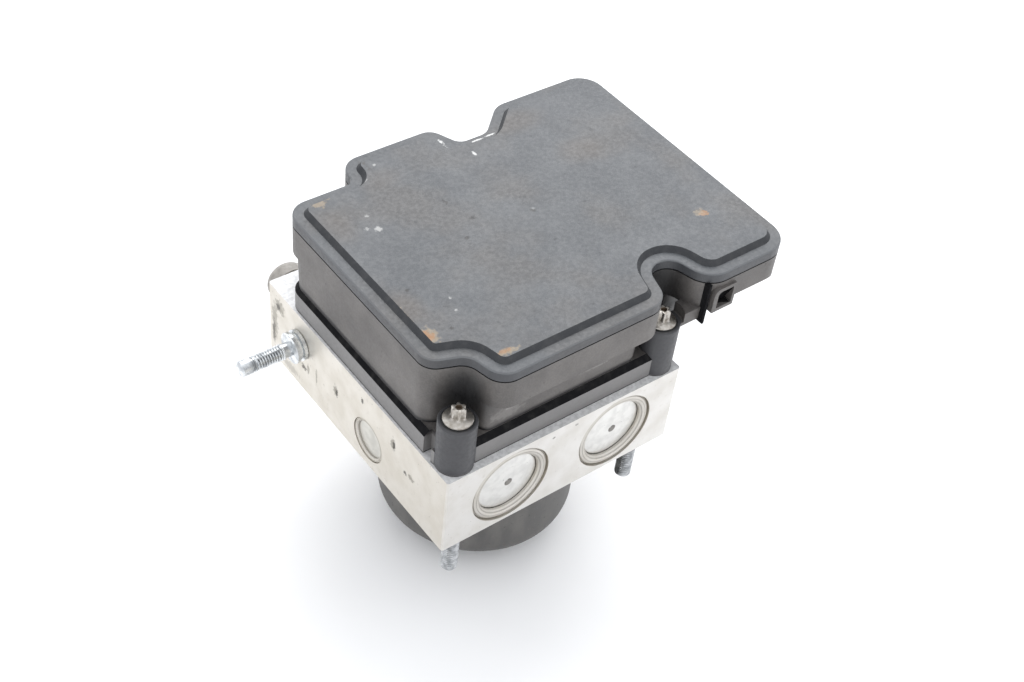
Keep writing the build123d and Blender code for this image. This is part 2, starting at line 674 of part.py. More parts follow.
wall_corners = [
    (TRAY_LEFT, LEFT_NOTCH_Y[0] + WALL_NOTCH_IN, 6.5),
    (LEFT_NOTCH_X[0] + WALL_NOTCH_IN, LEFT_NOTCH_Y[1] + WALL_NOTCH_IN, 6.5),
    (WALL_NOTCH_X[0], WALL_IN_Y, 4.0),
    (WALL_NOTCH_X[1], WALL_IN_Y, 4.0),
    (WALL_NOTCH_X[1], RIGHT_NOTCH_Y + WALL_NOTCH_IN, 6.8),
    (WALL_RIGHT, RIGHT_NOTCH_Y + WALL_NOTCH_IN, 7.0),
    (WALL_RIGHT, WALL_BACK, 7.0),
    (WALL_BACK_X[3], WALL_BACK, 4.0),
    (WALL_BACK_X[2], FLANGE_BACK, 4.0),
    (WALL_BACK_X[1], FLANGE_BACK, 4.0),
    (WALL_BACK_X[0], WALL_BACK, 4.0),
    (TRAY_LEFT, WALL_BACK, 7.0),
]
flange_outline = rounded(
    (FLANGE_IN_X, FLANGE_IN_Y, 7.0),
    (FLANGE_RIGHT, FLANGE_IN_Y, 7.0),
    (FLANGE_RIGHT, FLANGE_BACK, 7.0),
    (FLANGE_LUG_X[1], FLANGE_BACK, 3.0),
    (FLANGE_LUG_X[0], FLANGE_CORNER_Y, 3.0),
    (FLANGE_IN_X, FLANGE_CORNER_Y, 7.0),
)
WALL_DRAFT = 2.2
FIELD_CORNER = 2.2
FIELD_SLOPE = 1.5
SEAL_OUT = 1.9
SEAL_IN = 0.6
cavity_inset = WALL_IN_X - TRAY_LEFT + WALL_T
tray_outline = rounded(*tray_corners)
wall_outline = rounded(*wall_corners)
cavity_outline = rounded(*inset(wall_corners, cavity_inset))
seal_outer = rounded(*inset(wall_corners, cavity_inset - SEAL_OUT))
seal_outline = seal_outer - rounded(*inset(wall_corners, cavity_inset - SEAL_IN))
tray_inside = rounded(*inset(tray_corners, WALL_T))
seam_outline = tray_outline - rounded(*inset(tray_corners, SEAM_DEPTH))
field_outline = rounded(*inset(tray_corners, COVER_RIM_W, FIELD_CORNER))
field_top = rounded(*inset(tray_corners, COVER_RIM_W + FIELD_SLOPE, FIELD_CORNER - FIELD_SLOPE))
board_outline = rounded(*inset(tray_corners, BOARD_INSET))

# ---------------------------------------------------------------- moulded control unit housing
SEAL_H = 1.5
WEB_SLOT_Y = (10.9, 15.2)
WEB_SLOT_X = 4.0
WEB_CUT_X = 3.4
WEB_H = 6.0
SLOT_X = 104.4
SLOT_W_FRONT = 1.4
SLOT_BACK_Y = 4.1
WINDOW_X = (105.8, 115.6)
WINDOW_Z = (TRAY_Z - 0.5, TRAY_Z + 9.4)
WINDOW_HOLE_X = (107.7, 114.5)
WINDOW_HOLE_Z = (TRAY_Z + 1.0, TRAY_Z + 8.0)
WINDOW_PROUD = 1.0
WINDOW_DEPTH = 3.0
WINDOW_BACK_T = 0.7
UNDERCUT_X = 117.0
UNDERCUT = 2.2
SIDE_SLOPE = 2.8
LATCH_UP = 5.0
LATCH_H = 4.0
LATCH_OUT = 1.4
LATCH_L = 6.0
LATCH_Y = (-18.0, 18.0)
GUSSET_X = SLOT_X + SLOT_W_FRONT / 2
GUSSET_Y = (2.5, 9.0)
GUSSET_Z = (TRAY_Z - 4.2, TRAY_Z + 1.0)
BOSS_CLEAR_R = 7.4
BOSS_ROUND = 0.5
shroud_place = (LEFT + SHROUD_X, FRONT + SHROUD_Y)
pin_places = [
    (
        shroud_place[0] + (row - 1) * PIN_PITCH,
        shroud_place[1] + 8.0 + (n - (PINS_A_ROW - 1) / 2) * PIN_PITCH * 0.9,
    )
    for row in range(PIN_ROWS)
    for n in range(PINS_A_ROW)
]
blade_places = [(shroud_place[0] + x, shroud_place[1] + y) for x in (-4.5, 4.5) for y in (-24.0, -16.5)]
undercut_plane = Plane(
    origin=(LEFT + UNDERCUT_X, FRONT + TRAY_FRONT, TRAY_Z), x_dir=(0, 1, 0), z_dir=(1, 0, 0)
)
window_plane = Plane(
    origin=(LEFT, FRONT + TRAY_FRONT - WINDOW_PROUD, 0), x_dir=(1, 0, 0), z_dir=(0, -1, 0)
)
window_frame = rounded(
    (WINDOW_X[0], WINDOW_Z[0], 0.4),
    (WINDOW_X[1], WINDOW_Z[0], 0.4),
    (WINDOW_X[1], WINDOW_Z[1], 0.4),
    (WINDOW_X[0], WINDOW_Z[1], 2.4),
)
window_hole = rounded(
    (WINDOW_HOLE_X[0], WINDOW_HOLE_Z[0], 0.3),
    (WINDOW_HOLE_X[1], WINDOW_HOLE_Z[0], 0.3),
    (WINDOW_HOLE_X[1], WINDOW_HOLE_Z[1], 0.3),
    (WINDOW_HOLE_X[0], WINDOW_HOLE_Z[1], 1.6),
)
shroud_outline = RectangleRounded(SHROUD_W, SHROUD_L, SHROUD_CORNER)
shroud_inside = offset(shroud_outline, -SHROUD_WALL, kind=Kind.ARC)
shroud_stand = Plane(origin=(*shroud_place, SHROUD_LOW))
with BuildPart() as ecu_housing:
    # flange on the block, with a bevelled shoulder
    extrude(at_height(flange_outline, TOP_Z), amount=FLANGE_H - FLANGE_BEVEL)
    extrude(at_height(flange_outline, TOP_Z + FLANGE_H - FLANGE_BEVEL), amount=FLANGE_BEVEL, taper=45)
    # drafted walls up to the tray
    extrude(at_height(wall_outline, TRAY_Z), amount=TOP_Z - TRAY_Z, taper=WALL_DRAFT)
    extrude(at_height(tray_outline, TRAY_Z), amount=TRAY_H)
    # screw bosses
    with BuildSketch(corner_plane(TOP_Z)):
        with Locations(*FRONT_BOSSES, *BACK_BOSSES):
            Circle(BOSS_R)
        Rectangle(BLOCK_W, BLOCK_D - 0.3, align=(Align.MIN, Align.MIN), mode=Mode.INTERSECT)
    extrude(amount=BOSS_H)
    boss_rims = ecu_housing.edges().filter_by_position(Axis.Z, TOP_Z + BOSS_H, TOP_Z + BOSS_H)
    fillet(boss_rims.filter_by_position(Axis.Y, FRONT, 0), BOSS_ROUND)
    # undercut edges of the overhanging tray
    with BuildSketch(Plane(origin=(LEFT, 0, TRAY_Z), x_dir=(1, 0, 0), z_dir=(0, -1, 0))):
        Polygon(
            (TRAY_RIGHT - SIDE_SLOPE, 0),
            (TRAY_RIGHT - SIDE_SLOPE, -1),
            (TRAY_RIGHT + 1, -1),
            (TRAY_RIGHT + 1, TRAY_H),
            (TRAY_RIGHT, TRAY_H),
            align=None,
        )
    extrude(amount=BLOCK_D * 1.5, both=True, mode=Mode.SUBTRACT)
    with BuildSketch(undercut_plane):
        Polygon((UNDERCUT, 0), (UNDERCUT, -1), (-1, -1), (-1, UNDERCUT), (0, UNDERCUT), align=None)
    extrude(amount=TRAY_RIGHT, mode=Mode.SUBTRACT)
    # hollow for the coils, hollow for the board
    extrude(at_height(cavity_outline, TOP_Z), amount=TRAY_Z - TOP_Z, mode=Mode.SUBTRACT)
    extrude(at_height(tray_inside, TRAY_Z + TRAY_FLOOR_T), amount=TRAY_H, mode=Mode.SUBTRACT)
    extrude(at_height(seal_outline, TOP_Z), amount=SEAL_H + FIT_GAP, mode=Mode.SUBTRACT)
    # holes for the screws
    with Locations(corner_plane(TOP_Z)):
        with Locations(*[(x, y, BOSS_H) for x, y in FRONT_BOSSES + BACK_BOSSES]):
            Hole(BOSS_BORE_R, BOSS_H)
    # slot in the flange beside the front boss, with a low web left on the boss
    with BuildSketch(corner_plane(TOP_Z)):
        with Locations((FLANGE_IN_X - 1, WEB_SLOT_Y[0])):
            Rectangle(WEB_SLOT_X, WEB_SLOT_Y[1] - WEB_SLOT_Y[0], align=(Align.MIN, Align.MIN))
    extrude(amount=FLANGE_H, mode=Mode.SUBTRACT)
    with BuildSketch(corner_plane(TOP_Z + WEB_H)):
        with Locations((0, FRONT_BOSSES[0][1])):
            Rectangle(WEB_CUT_X, WEB_SLOT_Y[0] - FRONT_BOSSES[0][1], align=(Align.MIN, Align.MIN))
    extrude(amount=FLANGE_H - WEB_H, mode=Mode.SUBTRACT)
    # the cuts may not weaken the boss itself
    with BuildSketch(corner_plane(TOP_Z)):
        with Locations(FRONT_BOSSES[0]):
            Circle(BOSS_R)
            Circle(BOSS_BORE_R, mode=Mode.SUBTRACT)
    extrude(amount=FLANGE_H)
    # gusset from the right boss to the corner of the overhang
    with BuildSketch(corner_plane(GUSSET_Z[0])):
        with Locations((FRONT_BOSSES[1][0], GUSSET_Y[0])):
            Rectangle(
                GUSSET_X - FRONT_BOSSES[1][0],
                GUSSET_Y[1] - GUSSET_Y[0],
                align=(Align.MIN, Align.MIN),
            )
        with Locations(FRONT_BOSSES[1]):
            Circle(BOSS_BORE_R, mode=Mode.SUBTRACT)
    extrude(amount=GUSSET_Z[1] - GUSSET_Z[0])
    with BuildSketch(corner_plane(TOP_Z + BOSS_H)):
        with Locations(FRONT_BOSSES[1]):
            Circle(BOSS_CLEAR_R)
    extrude(amount=GUSSET_Z[1] - TOP_Z - BOSS_H, mode=Mode.SUBTRACT)
    # framed window and slot in the front of the overhang
    extrude(window_plane.location * window_frame, amount=-WINDOW_DEPTH - WINDOW_BACK_T)
    extrude(window_plane.location * window_hole, amount=-WINDOW_DEPTH, mode=Mode.SUBTRACT)
    with BuildSketch(corner_plane(GUSSET_Z[0])):
        with Locations((SLOT_X, 0)):
            Rectangle(SLOT_W_FRONT, SLOT_BACK_Y, align=(Align.CENTER, Align.MIN))
    extrude(amount=SEAM_Z - GUSSET_Z[0], mode=Mode.SUBTRACT)
    # groove under the cover's rim
    extrude(at_height(seam_outline, SEAM_Z - SEAM_GAP), amount=SEAM_GAP, mode=Mode.SUBTRACT)
    # plug shroud hanging under the overhang
    extrude(shroud_stand.location * shroud_outline, amount=TRAY_Z - SHROUD_LOW)
    extrude(shroud_stand.location * shroud_inside, amount=TRAY_Z - SHROUD_LOW, mode=Mode.SUBTRACT)
    with BuildSketch(shroud_stand.offset(LATCH_UP)):
        with Locations(*[(s * (SHROUD_W / 2 + LATCH_OUT / 2), y) for s in (-1, 1) for y in LATCH_Y]):
            Rectangle(LATCH_OUT + 0.4, LATCH_L)
    extrude(amount=LATCH_H)
    # ways through the tray floor for the pins
    with BuildSketch(Plane.XY.offset(TRAY_Z)):
        with Locations(shroud_place):
            Rectangle(CARRIER_W + 2 * FIT_GAP, CARRIER_L + 2 * FIT_GAP)
        with Locations(*valve_places):
            Rectangle(2 * COIL_PIN_OUT + COIL_SLOT_W, COIL_SLOT_W)
    extrude(amount=TRAY_FLOOR_T, mode=Mode.SUBTRACT)
ecu_housing.part.label = "ecu_housing"
export_step(ecu_housing.part, "parts/ecu_housing.step")

# ---------------------------------------------------------------- cover, seal, board and pins
with BuildPart() as ecu_cover:
    extrude(at_height(tray_outline, SEAM_Z), amount=COVER_RIM_H)
    fillet(ecu_cover.edges().group_by(Axis.Z)[-1], COVER_RIM_ROUND)
    loft([at_height(field_outline, RIM_Z), at_height(field_top, RIM_Z + COVER_FIELD_H)], ruled=True)
    extrude(at_height(tray_inside, SEAM_Z), amount=COVER_RIM_H - COVER_SKIN, mode=Mode.SUBTRACT)
ecu_cover.part.label = "ecu_cover"
export_step(ecu_cover.part, "parts/ecu_cover.step")

with BuildPart() as ecu_seal:
    extrude(at_height(seal_outline, TOP_Z), amount=SEAL_H)
ecu_seal.part.label = "ecu_seal"
export_step(ecu_seal.part, "parts/ecu_seal.step")

with BuildPart() as circuit_board:
    extrude(at_height(board_outline, BOARD_Z), amount=BOARD_T)
circuit_board.part.label = "circuit_board"
export_step(circuit_board.part, "parts/circuit_board.step")

CAPACITOR_R = 2.0
CHOKE_W = 7.0
CHIP_W = 14.0
with BuildPart() as board_parts:
    with BuildSketch(corner_plane(BOARD_Z + BOARD_T)):
        with Locations((60.0, 60.0)):
            Rectangle(CHIP_W, CHIP_W)
        with Locations((36.0, 62.0)):
            Rectangle(CHIP_W * 0.7, CHIP_W * 0.7)
        with Locations((104.0, 84.0)):
            Rectangle(CHOKE_W, CHOKE_W * 1.4)
        with Locations(*[(112.0 + 6 * n, 96.0) for n in range(4)]):
            Circle(CAPACITOR_R)
        with Locations(*[(24.0 + 13 * n, 24.0) for n in range(5)]):
            Rectangle(6.0, 9.0)
    extrude(amount=2.6)
board_parts.part.label = "board_parts"
export_step(board_parts.part, "parts/board_parts.step")

with BuildPart() as pin_carrier:
    with BuildSketch(Plane.XY.offset(TRAY_Z)):
        with Locations(shroud_place):
            Rectangle(CARRIER_W, CARRIER_L)
        with Locations(*pin_places):
            Rectangle(PIN_W + 2 * FIT_GAP, PIN_W + 2 * FIT_GAP, mode=Mode.SUBTRACT)
        with Locations(*blade_places):
            Rectangle(BLADE_T + 2 * FIT_GAP, BLADE_W + 2 * FIT_GAP, mode=Mode.SUBTRACT)
    extrude(amount=TRAY_FLOOR_T)
pin_carrier.part.label = "pin_carrier"
export_step(pin_carrier.part, "parts/pin_carrier.step")

with BuildPart() as connector_pins:
    with BuildSketch(Plane.XY.offset(PIN_LOW)):
        with Locations(*pin_places):
            Rectangle(PIN_W, PIN_W)
        with Locations(*blade_places):
            Rectangle(BLADE_T, BLADE_W)
    extrude(amount=BOARD_Z - PIN_LOW)
connector_pins.part.label = "connector_pins"
export_step(connector_pins.part, "parts/connector_pins.step")

# ---------------------------------------------------------------- screws, studs and port plug
HEAD_FLANGE_R = 4.95
HEAD_FLANGE_H = 1.2
HEAD_H = 4.5
LOBES = 6
LOBE_R = 0.62
LOBE_AT = 2.4
HEAD_HOLE_R = 1.1
with BuildPart() as ecu_screws:
    with BuildSketch(Plane.XY.offset(TOP_Z - SCREW_DEPTH + 1)):
        with Locations(*screw_places):
            Circle(SCREW_R)
    extrude(amount=SCREW_DEPTH - 1 + BOSS_H)
    with BuildSketch(Plane.XY.offset(TOP_Z + BOSS_H)):
        with Locations(*screw_places):
            Circle(HEAD_FLANGE_R)
    extrude(amount=HEAD_FLANGE_H)
    with BuildSketch(Plane.XY.offset(TOP_Z + BOSS_H + HEAD_FLANGE_H)):
        with Locations(*screw_places):
            Circle(LOBE_AT)
            with PolarLocations(LOBE_AT, LOBES):
                Circle(LOBE_R)
    extrude(amount=HEAD_H)
    with BuildSketch(Plane.XY.offset(TOP_Z + BOSS_H + HEAD_FLANGE_H + HEAD_H - 1.6)):
        with Locations(*screw_places):
            Circle(HEAD_HOLE_R)
    extrude(amount=1.6, mode=Mode.SUBTRACT)
ecu_screws.part.label = "ecu_screws"
export_step(ecu_screws.part, "parts/ecu_screws.step")

STUD_END = 1.2
with BuildPart() as base_studs:
    with BuildSketch(Plane.XY.offset(BLOCK_Z - BASE_STUD_OUT)):
        with Locations(*base_stud_places):
            Circle(STUD_R)
    extrude(amount=BASE_STUD_OUT)
    with BuildSketch(Plane.XY.offset(BLOCK_Z)):
        with Locations(*base_stud_places):
            Circle(STUD_ROOT_R)
    extrude(amount=STUD_DEPTH)
    chamfer(base_studs.edges().group_by(Axis.Z)[0], STUD_END * 0.6)
base_studs.part.label = "base_studs"
export_step(base_studs.part, "parts/base_studs.step")

COLLAR_R = 5.9
COLLAR_T = 1.8
COLLAR_GAP = 0.9
SHANK_R = 2.7
SHANK_L = 3.0
POINT_R = 2.6
POINT_L = 4.0
stud_plane = Plane(origin=(LEFT, SIDE_STUD_Y, SIDE_STUD_Z), x_dir=(0, -1, 0), z_dir=(-1, 0, 0))
with BuildPart() as side_stud:
    with BuildSketch(stud_plane.offset(-STUD_DEPTH)):
        Circle(STUD_ROOT_R)
    extrude(amount=STUD_DEPTH)
    # collar of two discs against the block, then shank, thread and plain point
    for start, length, radius in (
        (0, COLLAR_T, COLLAR_R),
        (COLLAR_T, COLLAR_GAP, COLLAR_R - 0.9),
        (COLLAR_T + COLLAR_GAP, COLLAR_T, COLLAR_R),
        (2 * COLLAR_T + COLLAR_GAP, SHANK_L, SHANK_R),
        (2 * COLLAR_T + COLLAR_GAP + SHANK_L, SIDE_STUD_OUT, STUD_R),
        (SIDE_STUD_OUT - POINT_L, POINT_L, POINT_R),
    ):
        end = min(start + length, SIDE_STUD_OUT - (POINT_L if radius == STUD_R else 0))
        with BuildSketch(stud_plane.offset(start)):
            Circle(radius)
        extrude(amount=end - start)
    chamfer(side_stud.edges().group_by(Axis.X)[0], STUD_END * 0.6)
side_stud.part.label = "side_stud"
export_step(side_stud.part, "parts/side_stud.step")

PLUG_NECK_R = 6.4
PLUG_NECK_L = 9.5
PLUG_HEAD_R = 7.8
PLUG_HEAD_L = 7.0
PLUG_HEAD_ROUND = 3.5
plug_plane = Plane(origin=(PORT_X[0], BACK, PORT_Z), x_dir=(-1, 0, 0), z_dir=(0, 1, 0))
with BuildPart() as port_plug:
    with BuildSketch(plug_plane.offset(-PORT_DEPTH + 3)):
        Circle(PORT_R - FIT_GAP)
    extrude(amount=PORT_DEPTH - 3)
    with BuildSketch(plug_plane):
        Circle(PLUG_NECK_R)
    extrude(amount=PLUG_NECK_L)
    with BuildSketch(plug_plane.offset(PLUG_NECK_L)):
        Circle(PLUG_HEAD_R)
    extrude(amount=PLUG_HEAD_L)
    fillet(port_plug.edges().group_by(Axis.Y)[-1], PLUG_HEAD_ROUND)
port_plug.part.label = "port_plug"
export_step(port_plug.part, "parts/port_plug.step")
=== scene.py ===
import logging
import math
from collections.abc import Callable, Sequence
from dataclasses import dataclass, field
from enum import Enum
from functools import reduce

import bmesh
import bpy
from mathutils import Matrix, Vector


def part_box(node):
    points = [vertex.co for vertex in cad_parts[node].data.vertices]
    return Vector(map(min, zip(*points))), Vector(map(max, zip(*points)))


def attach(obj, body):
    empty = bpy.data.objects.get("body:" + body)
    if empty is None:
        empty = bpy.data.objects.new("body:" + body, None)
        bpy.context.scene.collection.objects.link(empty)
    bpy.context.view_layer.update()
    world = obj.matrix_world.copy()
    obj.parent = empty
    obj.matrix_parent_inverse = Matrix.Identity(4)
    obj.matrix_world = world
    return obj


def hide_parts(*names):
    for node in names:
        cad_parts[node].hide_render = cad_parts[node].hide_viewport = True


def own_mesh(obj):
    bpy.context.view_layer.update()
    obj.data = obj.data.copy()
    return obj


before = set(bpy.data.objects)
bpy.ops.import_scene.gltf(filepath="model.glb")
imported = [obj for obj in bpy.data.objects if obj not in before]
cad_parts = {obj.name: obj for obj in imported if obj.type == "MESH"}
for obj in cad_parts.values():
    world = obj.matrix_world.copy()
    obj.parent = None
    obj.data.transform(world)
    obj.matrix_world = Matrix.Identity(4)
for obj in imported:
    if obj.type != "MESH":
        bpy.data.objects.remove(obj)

MM = 0.001
NEARLY_UP = 0.97
TOUCH = 0.1
LOG = logging.getLogger("anti_lock_unit")
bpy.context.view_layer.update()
Colour = tuple[float, float, float]
Point = tuple[float, float, float]
Socket = bpy.types.NodeSocket
SCREW_PLACES = ((-41.8, -38.0), (42.0, -38.0), (-29.0, 61.0), (31.4, 61.0))


class Axis(Enum):
    """Row axes that a turned rod can lie along."""

    MINUS_X = "minus_x"
    MINUS_Z = "minus_z"


class Blend(Enum):
    """How one colour is laid over another."""

    MIX = "MIX"
    MULTIPLY = "MULTIPLY"


# ---------------------------------------------------------------- shader building
@dataclass(frozen=True)
class Grain:
    """Noise with grains of a real size, stepped into patches that are laid on at a share."""

    size_mm: float
    detail: float
    low: float
    high: float
    share: float = 1.0
    stretch: Point = (1.0, 1.0, 1.0)


@dataclass(frozen=True)
class Mark:
    """A stain, scuff, chip or patch of painted shade at a known place on a surface, in millimetres."""

    spot: Point
    reach: Point
    colour: Colour
    strength: float
    ragged_mm: float = 0.0


@dataclass(frozen=True)
class Relief:
    """Unevenness of a surface: width of its grains, octaves and real depth, in millimetres."""

    size_mm: float
    detail: float
    depth_mm: float


class Shader:
    """One procedural material, built node by node on a Principled shader."""

    SOFT_CORE = 0.2
    RAGGED_CORE = 0.45
    RAGGED_SWING = 1.8

    def __init__(self, name: str) -> None:
        """Starts an empty node material.

        Args:
            name: The material's name.
        """
        self.material = bpy.data.materials.new(name)
        self.material.use_nodes = True
        self.nodes = self.material.node_tree.nodes
        self.links = self.material.node_tree.links
        self.surface = self.nodes["Principled BSDF"]
        self.place = self.nodes.new("ShaderNodeTexCoord").outputs["Object"]

    def set(self, **values: float) -> None:
        """Sets constants on the shader's own sockets, named with underscores for spaces."""
        for name, value in values.items():
            self.surface.inputs[name.replace("_", " ")].default_value = value

    def plug(self, target: Socket, value: object) -> None:
        """Feeds a socket with another socket or with a constant.

        Args:
            target: The input socket.
            value: An output socket, a number or a colour.
        """
        if isinstance(value, Socket):
            self.links.new(value, target)
        elif isinstance(value, tuple):
            target.default_value = (*value, 1.0)
        else:
            target.default_value = value

    def math(self, operation: str, first: object, second: object = 0.0) -> Socket:
        """One arithmetic step.

        Args:
            operation: Blender's name of the operation.
            first: First operand.
            second: Second operand.

        Returns:
            The result.
        """
        node = self.nodes.new("ShaderNodeMath")
        node.operation = operation
        self.plug(node.inputs[0], first)
        self.plug(node.inputs[1], second)
        return node.outputs[0]

    def fold(self, operation: str, masks: Sequence[Socket]) -> Socket:
        """Joins masks with one operation, such as ADD or MAXIMUM."""
        return reduce(lambda first, second: self.math(operation, first, second), masks)

    def vector(self, operation: str, value: Socket, operand: Sequence[float]) -> Socket:
        """One step of vector arithmetic.

        Args:
            operation: Blender's name of the operation.
            value: First operand.
            operand: Second operand, a constant.

        Returns:
            The result.
        """
        node = self.nodes.new("ShaderNodeVectorMath")
        node.operation = operation
        self.links.new(value, node.inputs[0])
        node.inputs[1].default_value = operand
        return node.outputs[0]

    def length(self, value: Socket) -> Socket:
        """Length of a vector.

        Args:
            value: The vector.

        Returns:
            Its length.
        """
        node = self.nodes.new("ShaderNodeVectorMath")
        node.operation = "LENGTH"
        self.links.new(value, node.inputs[0])
        return node.outputs["Value"]

    def noise(self, size_mm: float, detail: float = 3.0, stretch: Point = (1.0, 1.0, 1.0)) -> Socket:
        """Fractal noise with grains of a real size.

        Args:
            size_mm: Width of a grain.
            detail: Octaves.
            stretch: Scale of the pattern along each axis.

        Returns:
            A value from 0 to 1, around 0.5.
        """
        mapping = self.nodes.new("ShaderNodeMapping")
        mapping.inputs["Scale"].default_value = stretch
        self.links.new(self.place, mapping.inputs["Vector"])
        node = self.nodes.new("ShaderNodeTexNoise")
        node.inputs["Scale"].default_value = 1.0 / (size_mm * MM)
        node.inputs["Detail"].default_value = detail
        self.links.new(mapping.outputs[0], node.inputs["Vector"])
        return node.outputs["Fac"]

    def steps(self, value: Socket, low: float, high: float, turned: bool = False) -> Socket:
        """Smooth step of a value.

        Args:
            value: What is stepped.
            low: Where the step starts.
            high: Where the step ends.
            turned: True when the result falls instead of rising.

        Returns:
            A value from 0 to 1.
        """
        node = self.nodes.new("ShaderNodeMapRange")
        node.interpolation_type = "SMOOTHSTEP"
        self.links.new(value, node.inputs["Value"])
        node.inputs["From Min"].default_value = low
        node.inputs["From Max"].default_value = high
        node.inputs["To Min"].default_value = float(turned)
        node.inputs["To Max"].default_value = float(not turned)
        return node.outputs["Result"]

    def grain(self, grain: Grain) -> Socket:
        """Mask of a grain's patches."""
        return self.steps(self.noise(grain.size_mm, grain.detail, grain.stretch), grain.low, grain.high)

    def mix(self, amount: Socket, under: object, over: object, how: Blend = Blend.MIX) -> Socket:
        """Lays one colour over another.

        Args:
            amount: How much of the upper colour, from 0 to 1.
            under: Lower colour.
            over: Upper colour.
            how: The way they are combined.

        Returns:
            The mixed colour.
        """
        node = self.nodes.new("ShaderNodeMix")
        node.data_type = "RGBA"
        node.blend_type = how.value
        self.plug(node.inputs["Factor"], amount)
        self.plug(node.inputs[6], under)
        self.plug(node.inputs[7], over)
        return node.outputs[2]

    def lay(self, mask: Socket, share: float, under: object, over: object) -> Socket:
        """Lays one colour over another at a share of a mask."""
        return self.mix(self.math("MULTIPLY", mask, share), under, over)

    def lay_grain(self, grain: Grain, under: object, over: object, how: Blend = Blend.MIX) -> Socket:
        """Lays one colour over another in a grain's patches."""
        return self.mix(self.math("MULTIPLY", self.grain(grain), grain.share), under, over, how)

    def lay_marks(self, marks: Sequence[Mark], colour: object) -> object:
        """Lays marks over a colour.

        Args:
            marks: The marks, lowest first.
            colour: The colour below them.

        Returns:
            The colour with its marks.
        """
        for mark in marks:
            colour = self.lay(self.near(mark), mark.strength, colour, mark.colour)
        return colour

    def near(self, mark: Mark) -> Socket:
        """Mask of a mark with a soft or ragged edge.

        Args:
            mark: The mark.

        Returns:
            1 in the mark's middle, falling to 0 at its edge.
        """
        away = self.vector("SUBTRACT", self.place, [c * MM for c in mark.spot])
        distance = self.length(self.vector("DIVIDE", away, [c * MM for c in mark.reach]))
        if not mark.ragged_mm:
            return self.steps(distance, self.SOFT_CORE, 1.0, turned=True)
        noise = self.math("SUBTRACT", self.noise(mark.ragged_mm), 0.5)
        wobble = self.math("MULTIPLY", noise, self.RAGGED_SWING)
        return self.steps(self.math("ADD", distance, wobble), self.RAGGED_CORE, 1.0, turned=True)

    def part(self, value: Socket, axis: str) -> Socket:
        """One component of a vector.

        Args:
            value: The vector.
            axis: The component, X, Y or Z.

        Returns:
            The component.
        """
        node = self.nodes.new("ShaderNodeSeparateXYZ")
        self.links.new(value, node.inputs[0])
        return node.outputs[axis]

    def axis_value(self, axis: str) -> Socket:
        """One coordinate of the surface in the row frame, in metres; axis is X, Y or Z."""
        return self.part(self.place, axis)

    def facing(self, axis: str) -> Socket:
        """One component of the surface normal in the row frame; axis is X, Y or Z."""
        return self.part(self.nodes.new("ShaderNodeNewGeometry").outputs["Normal"], axis)

    def radius_from(self, centre: Point, axis: str) -> Socket:
        """Distance from a line through a point.

        Args:
            centre: A point on the line, in millimetres in the row frame.
            axis: The line's direction, X, Y or Z.

        Returns:
            The distance in metres.
        """
        away = self.vector("SUBTRACT", self.place, [c * MM for c in centre])
        return self.length(self.vector("MULTIPLY", away, [float(name != axis) for name in "XYZ"]))

    def band(self, value: Socket, low: float, high: float, soft: float) -> Socket:
        """Mask of a range of a length, in millimetres.

        Args:
            value: The length, in metres.
            low: Where the range starts.
            high: Where it ends.
            soft: Width of its faded edges.

        Returns:
            1 inside the range and 0 outside it.
        """
        rise = self.steps(value, (low - soft) * MM, low * MM)
        fall = self.steps(value, high * MM, (high + soft) * MM, turned=True)
        return self.math("MULTIPLY", rise, fall)

    def bump(self, *layers: tuple[Socket, float]) -> None:
        """Adds relief to the surface.

        Args:
            layers: Pairs of a height from 0 to 1 and its real depth in millimetres.
        """
        before = None
        for height, depth_mm in layers:
            node = self.nodes.new("ShaderNodeBump")
            node.inputs["Distance"].default_value = depth_mm * MM
            self.links.new(height, node.inputs["Height"])
            if before is not None:
                self.links.new(before, node.inputs["Normal"])
            before = node.outputs["Normal"]
        self.links.new(before, self.surface.inputs["Normal"])

    def uneven(self, *layers: Relief) -> None:
        """Adds fine unevenness to the surface, finest first."""
        self.bump(*[(self.noise(layer.size_mm, layer.detail), layer.depth_mm) for layer in layers])

    def colour(self, value: Socket) -> None:
        """Feeds the base colour."""
        self.links.new(value, self.surface.inputs["Base Color"])

    def roughness(self, mask: Socket, swing: float, least: float) -> None:
        """Feeds a roughness that rises by a swing where a mask is 1."""
        rough = self.math("ADD", self.math("MULTIPLY", mask, swing), least)
        self.links.new(rough, self.surface.inputs["Roughness"])


# ---------------------------------------------------------------- finishes
@dataclass(frozen=True)
class Zone:
    """A stretch of heights whose sloping or upright faces have another tone, in millimetres."""

    low: float
    high: float
    soft: float
    tone: Colour
    strength: float
    tilt: tuple[float, float] = (-1.1, 1.1)
    tilt_fade: tuple[float, float] = (0.04, 0.02)

    def mask(self, shader: Shader) -> Socket:
        """Mask of the zone's faces.

        Args:
            shader: The material being built.

        Returns:
            1 on the zone's faces and 0 elsewhere.
        """
        height = shader.band(shader.axis_value("Z"), self.low, self.high, self.soft)
        up = shader.facing("Z")
        low, high = self.tilt
        low_fade, high_fade = self.tilt_fade
        rise = shader.steps(up, low - low_fade, low)
        fall = shader.steps(up, high, high + high_fade, turned=True)
        return shader.math("MULTIPLY", height, shader.math("MULTIPLY", rise, fall))


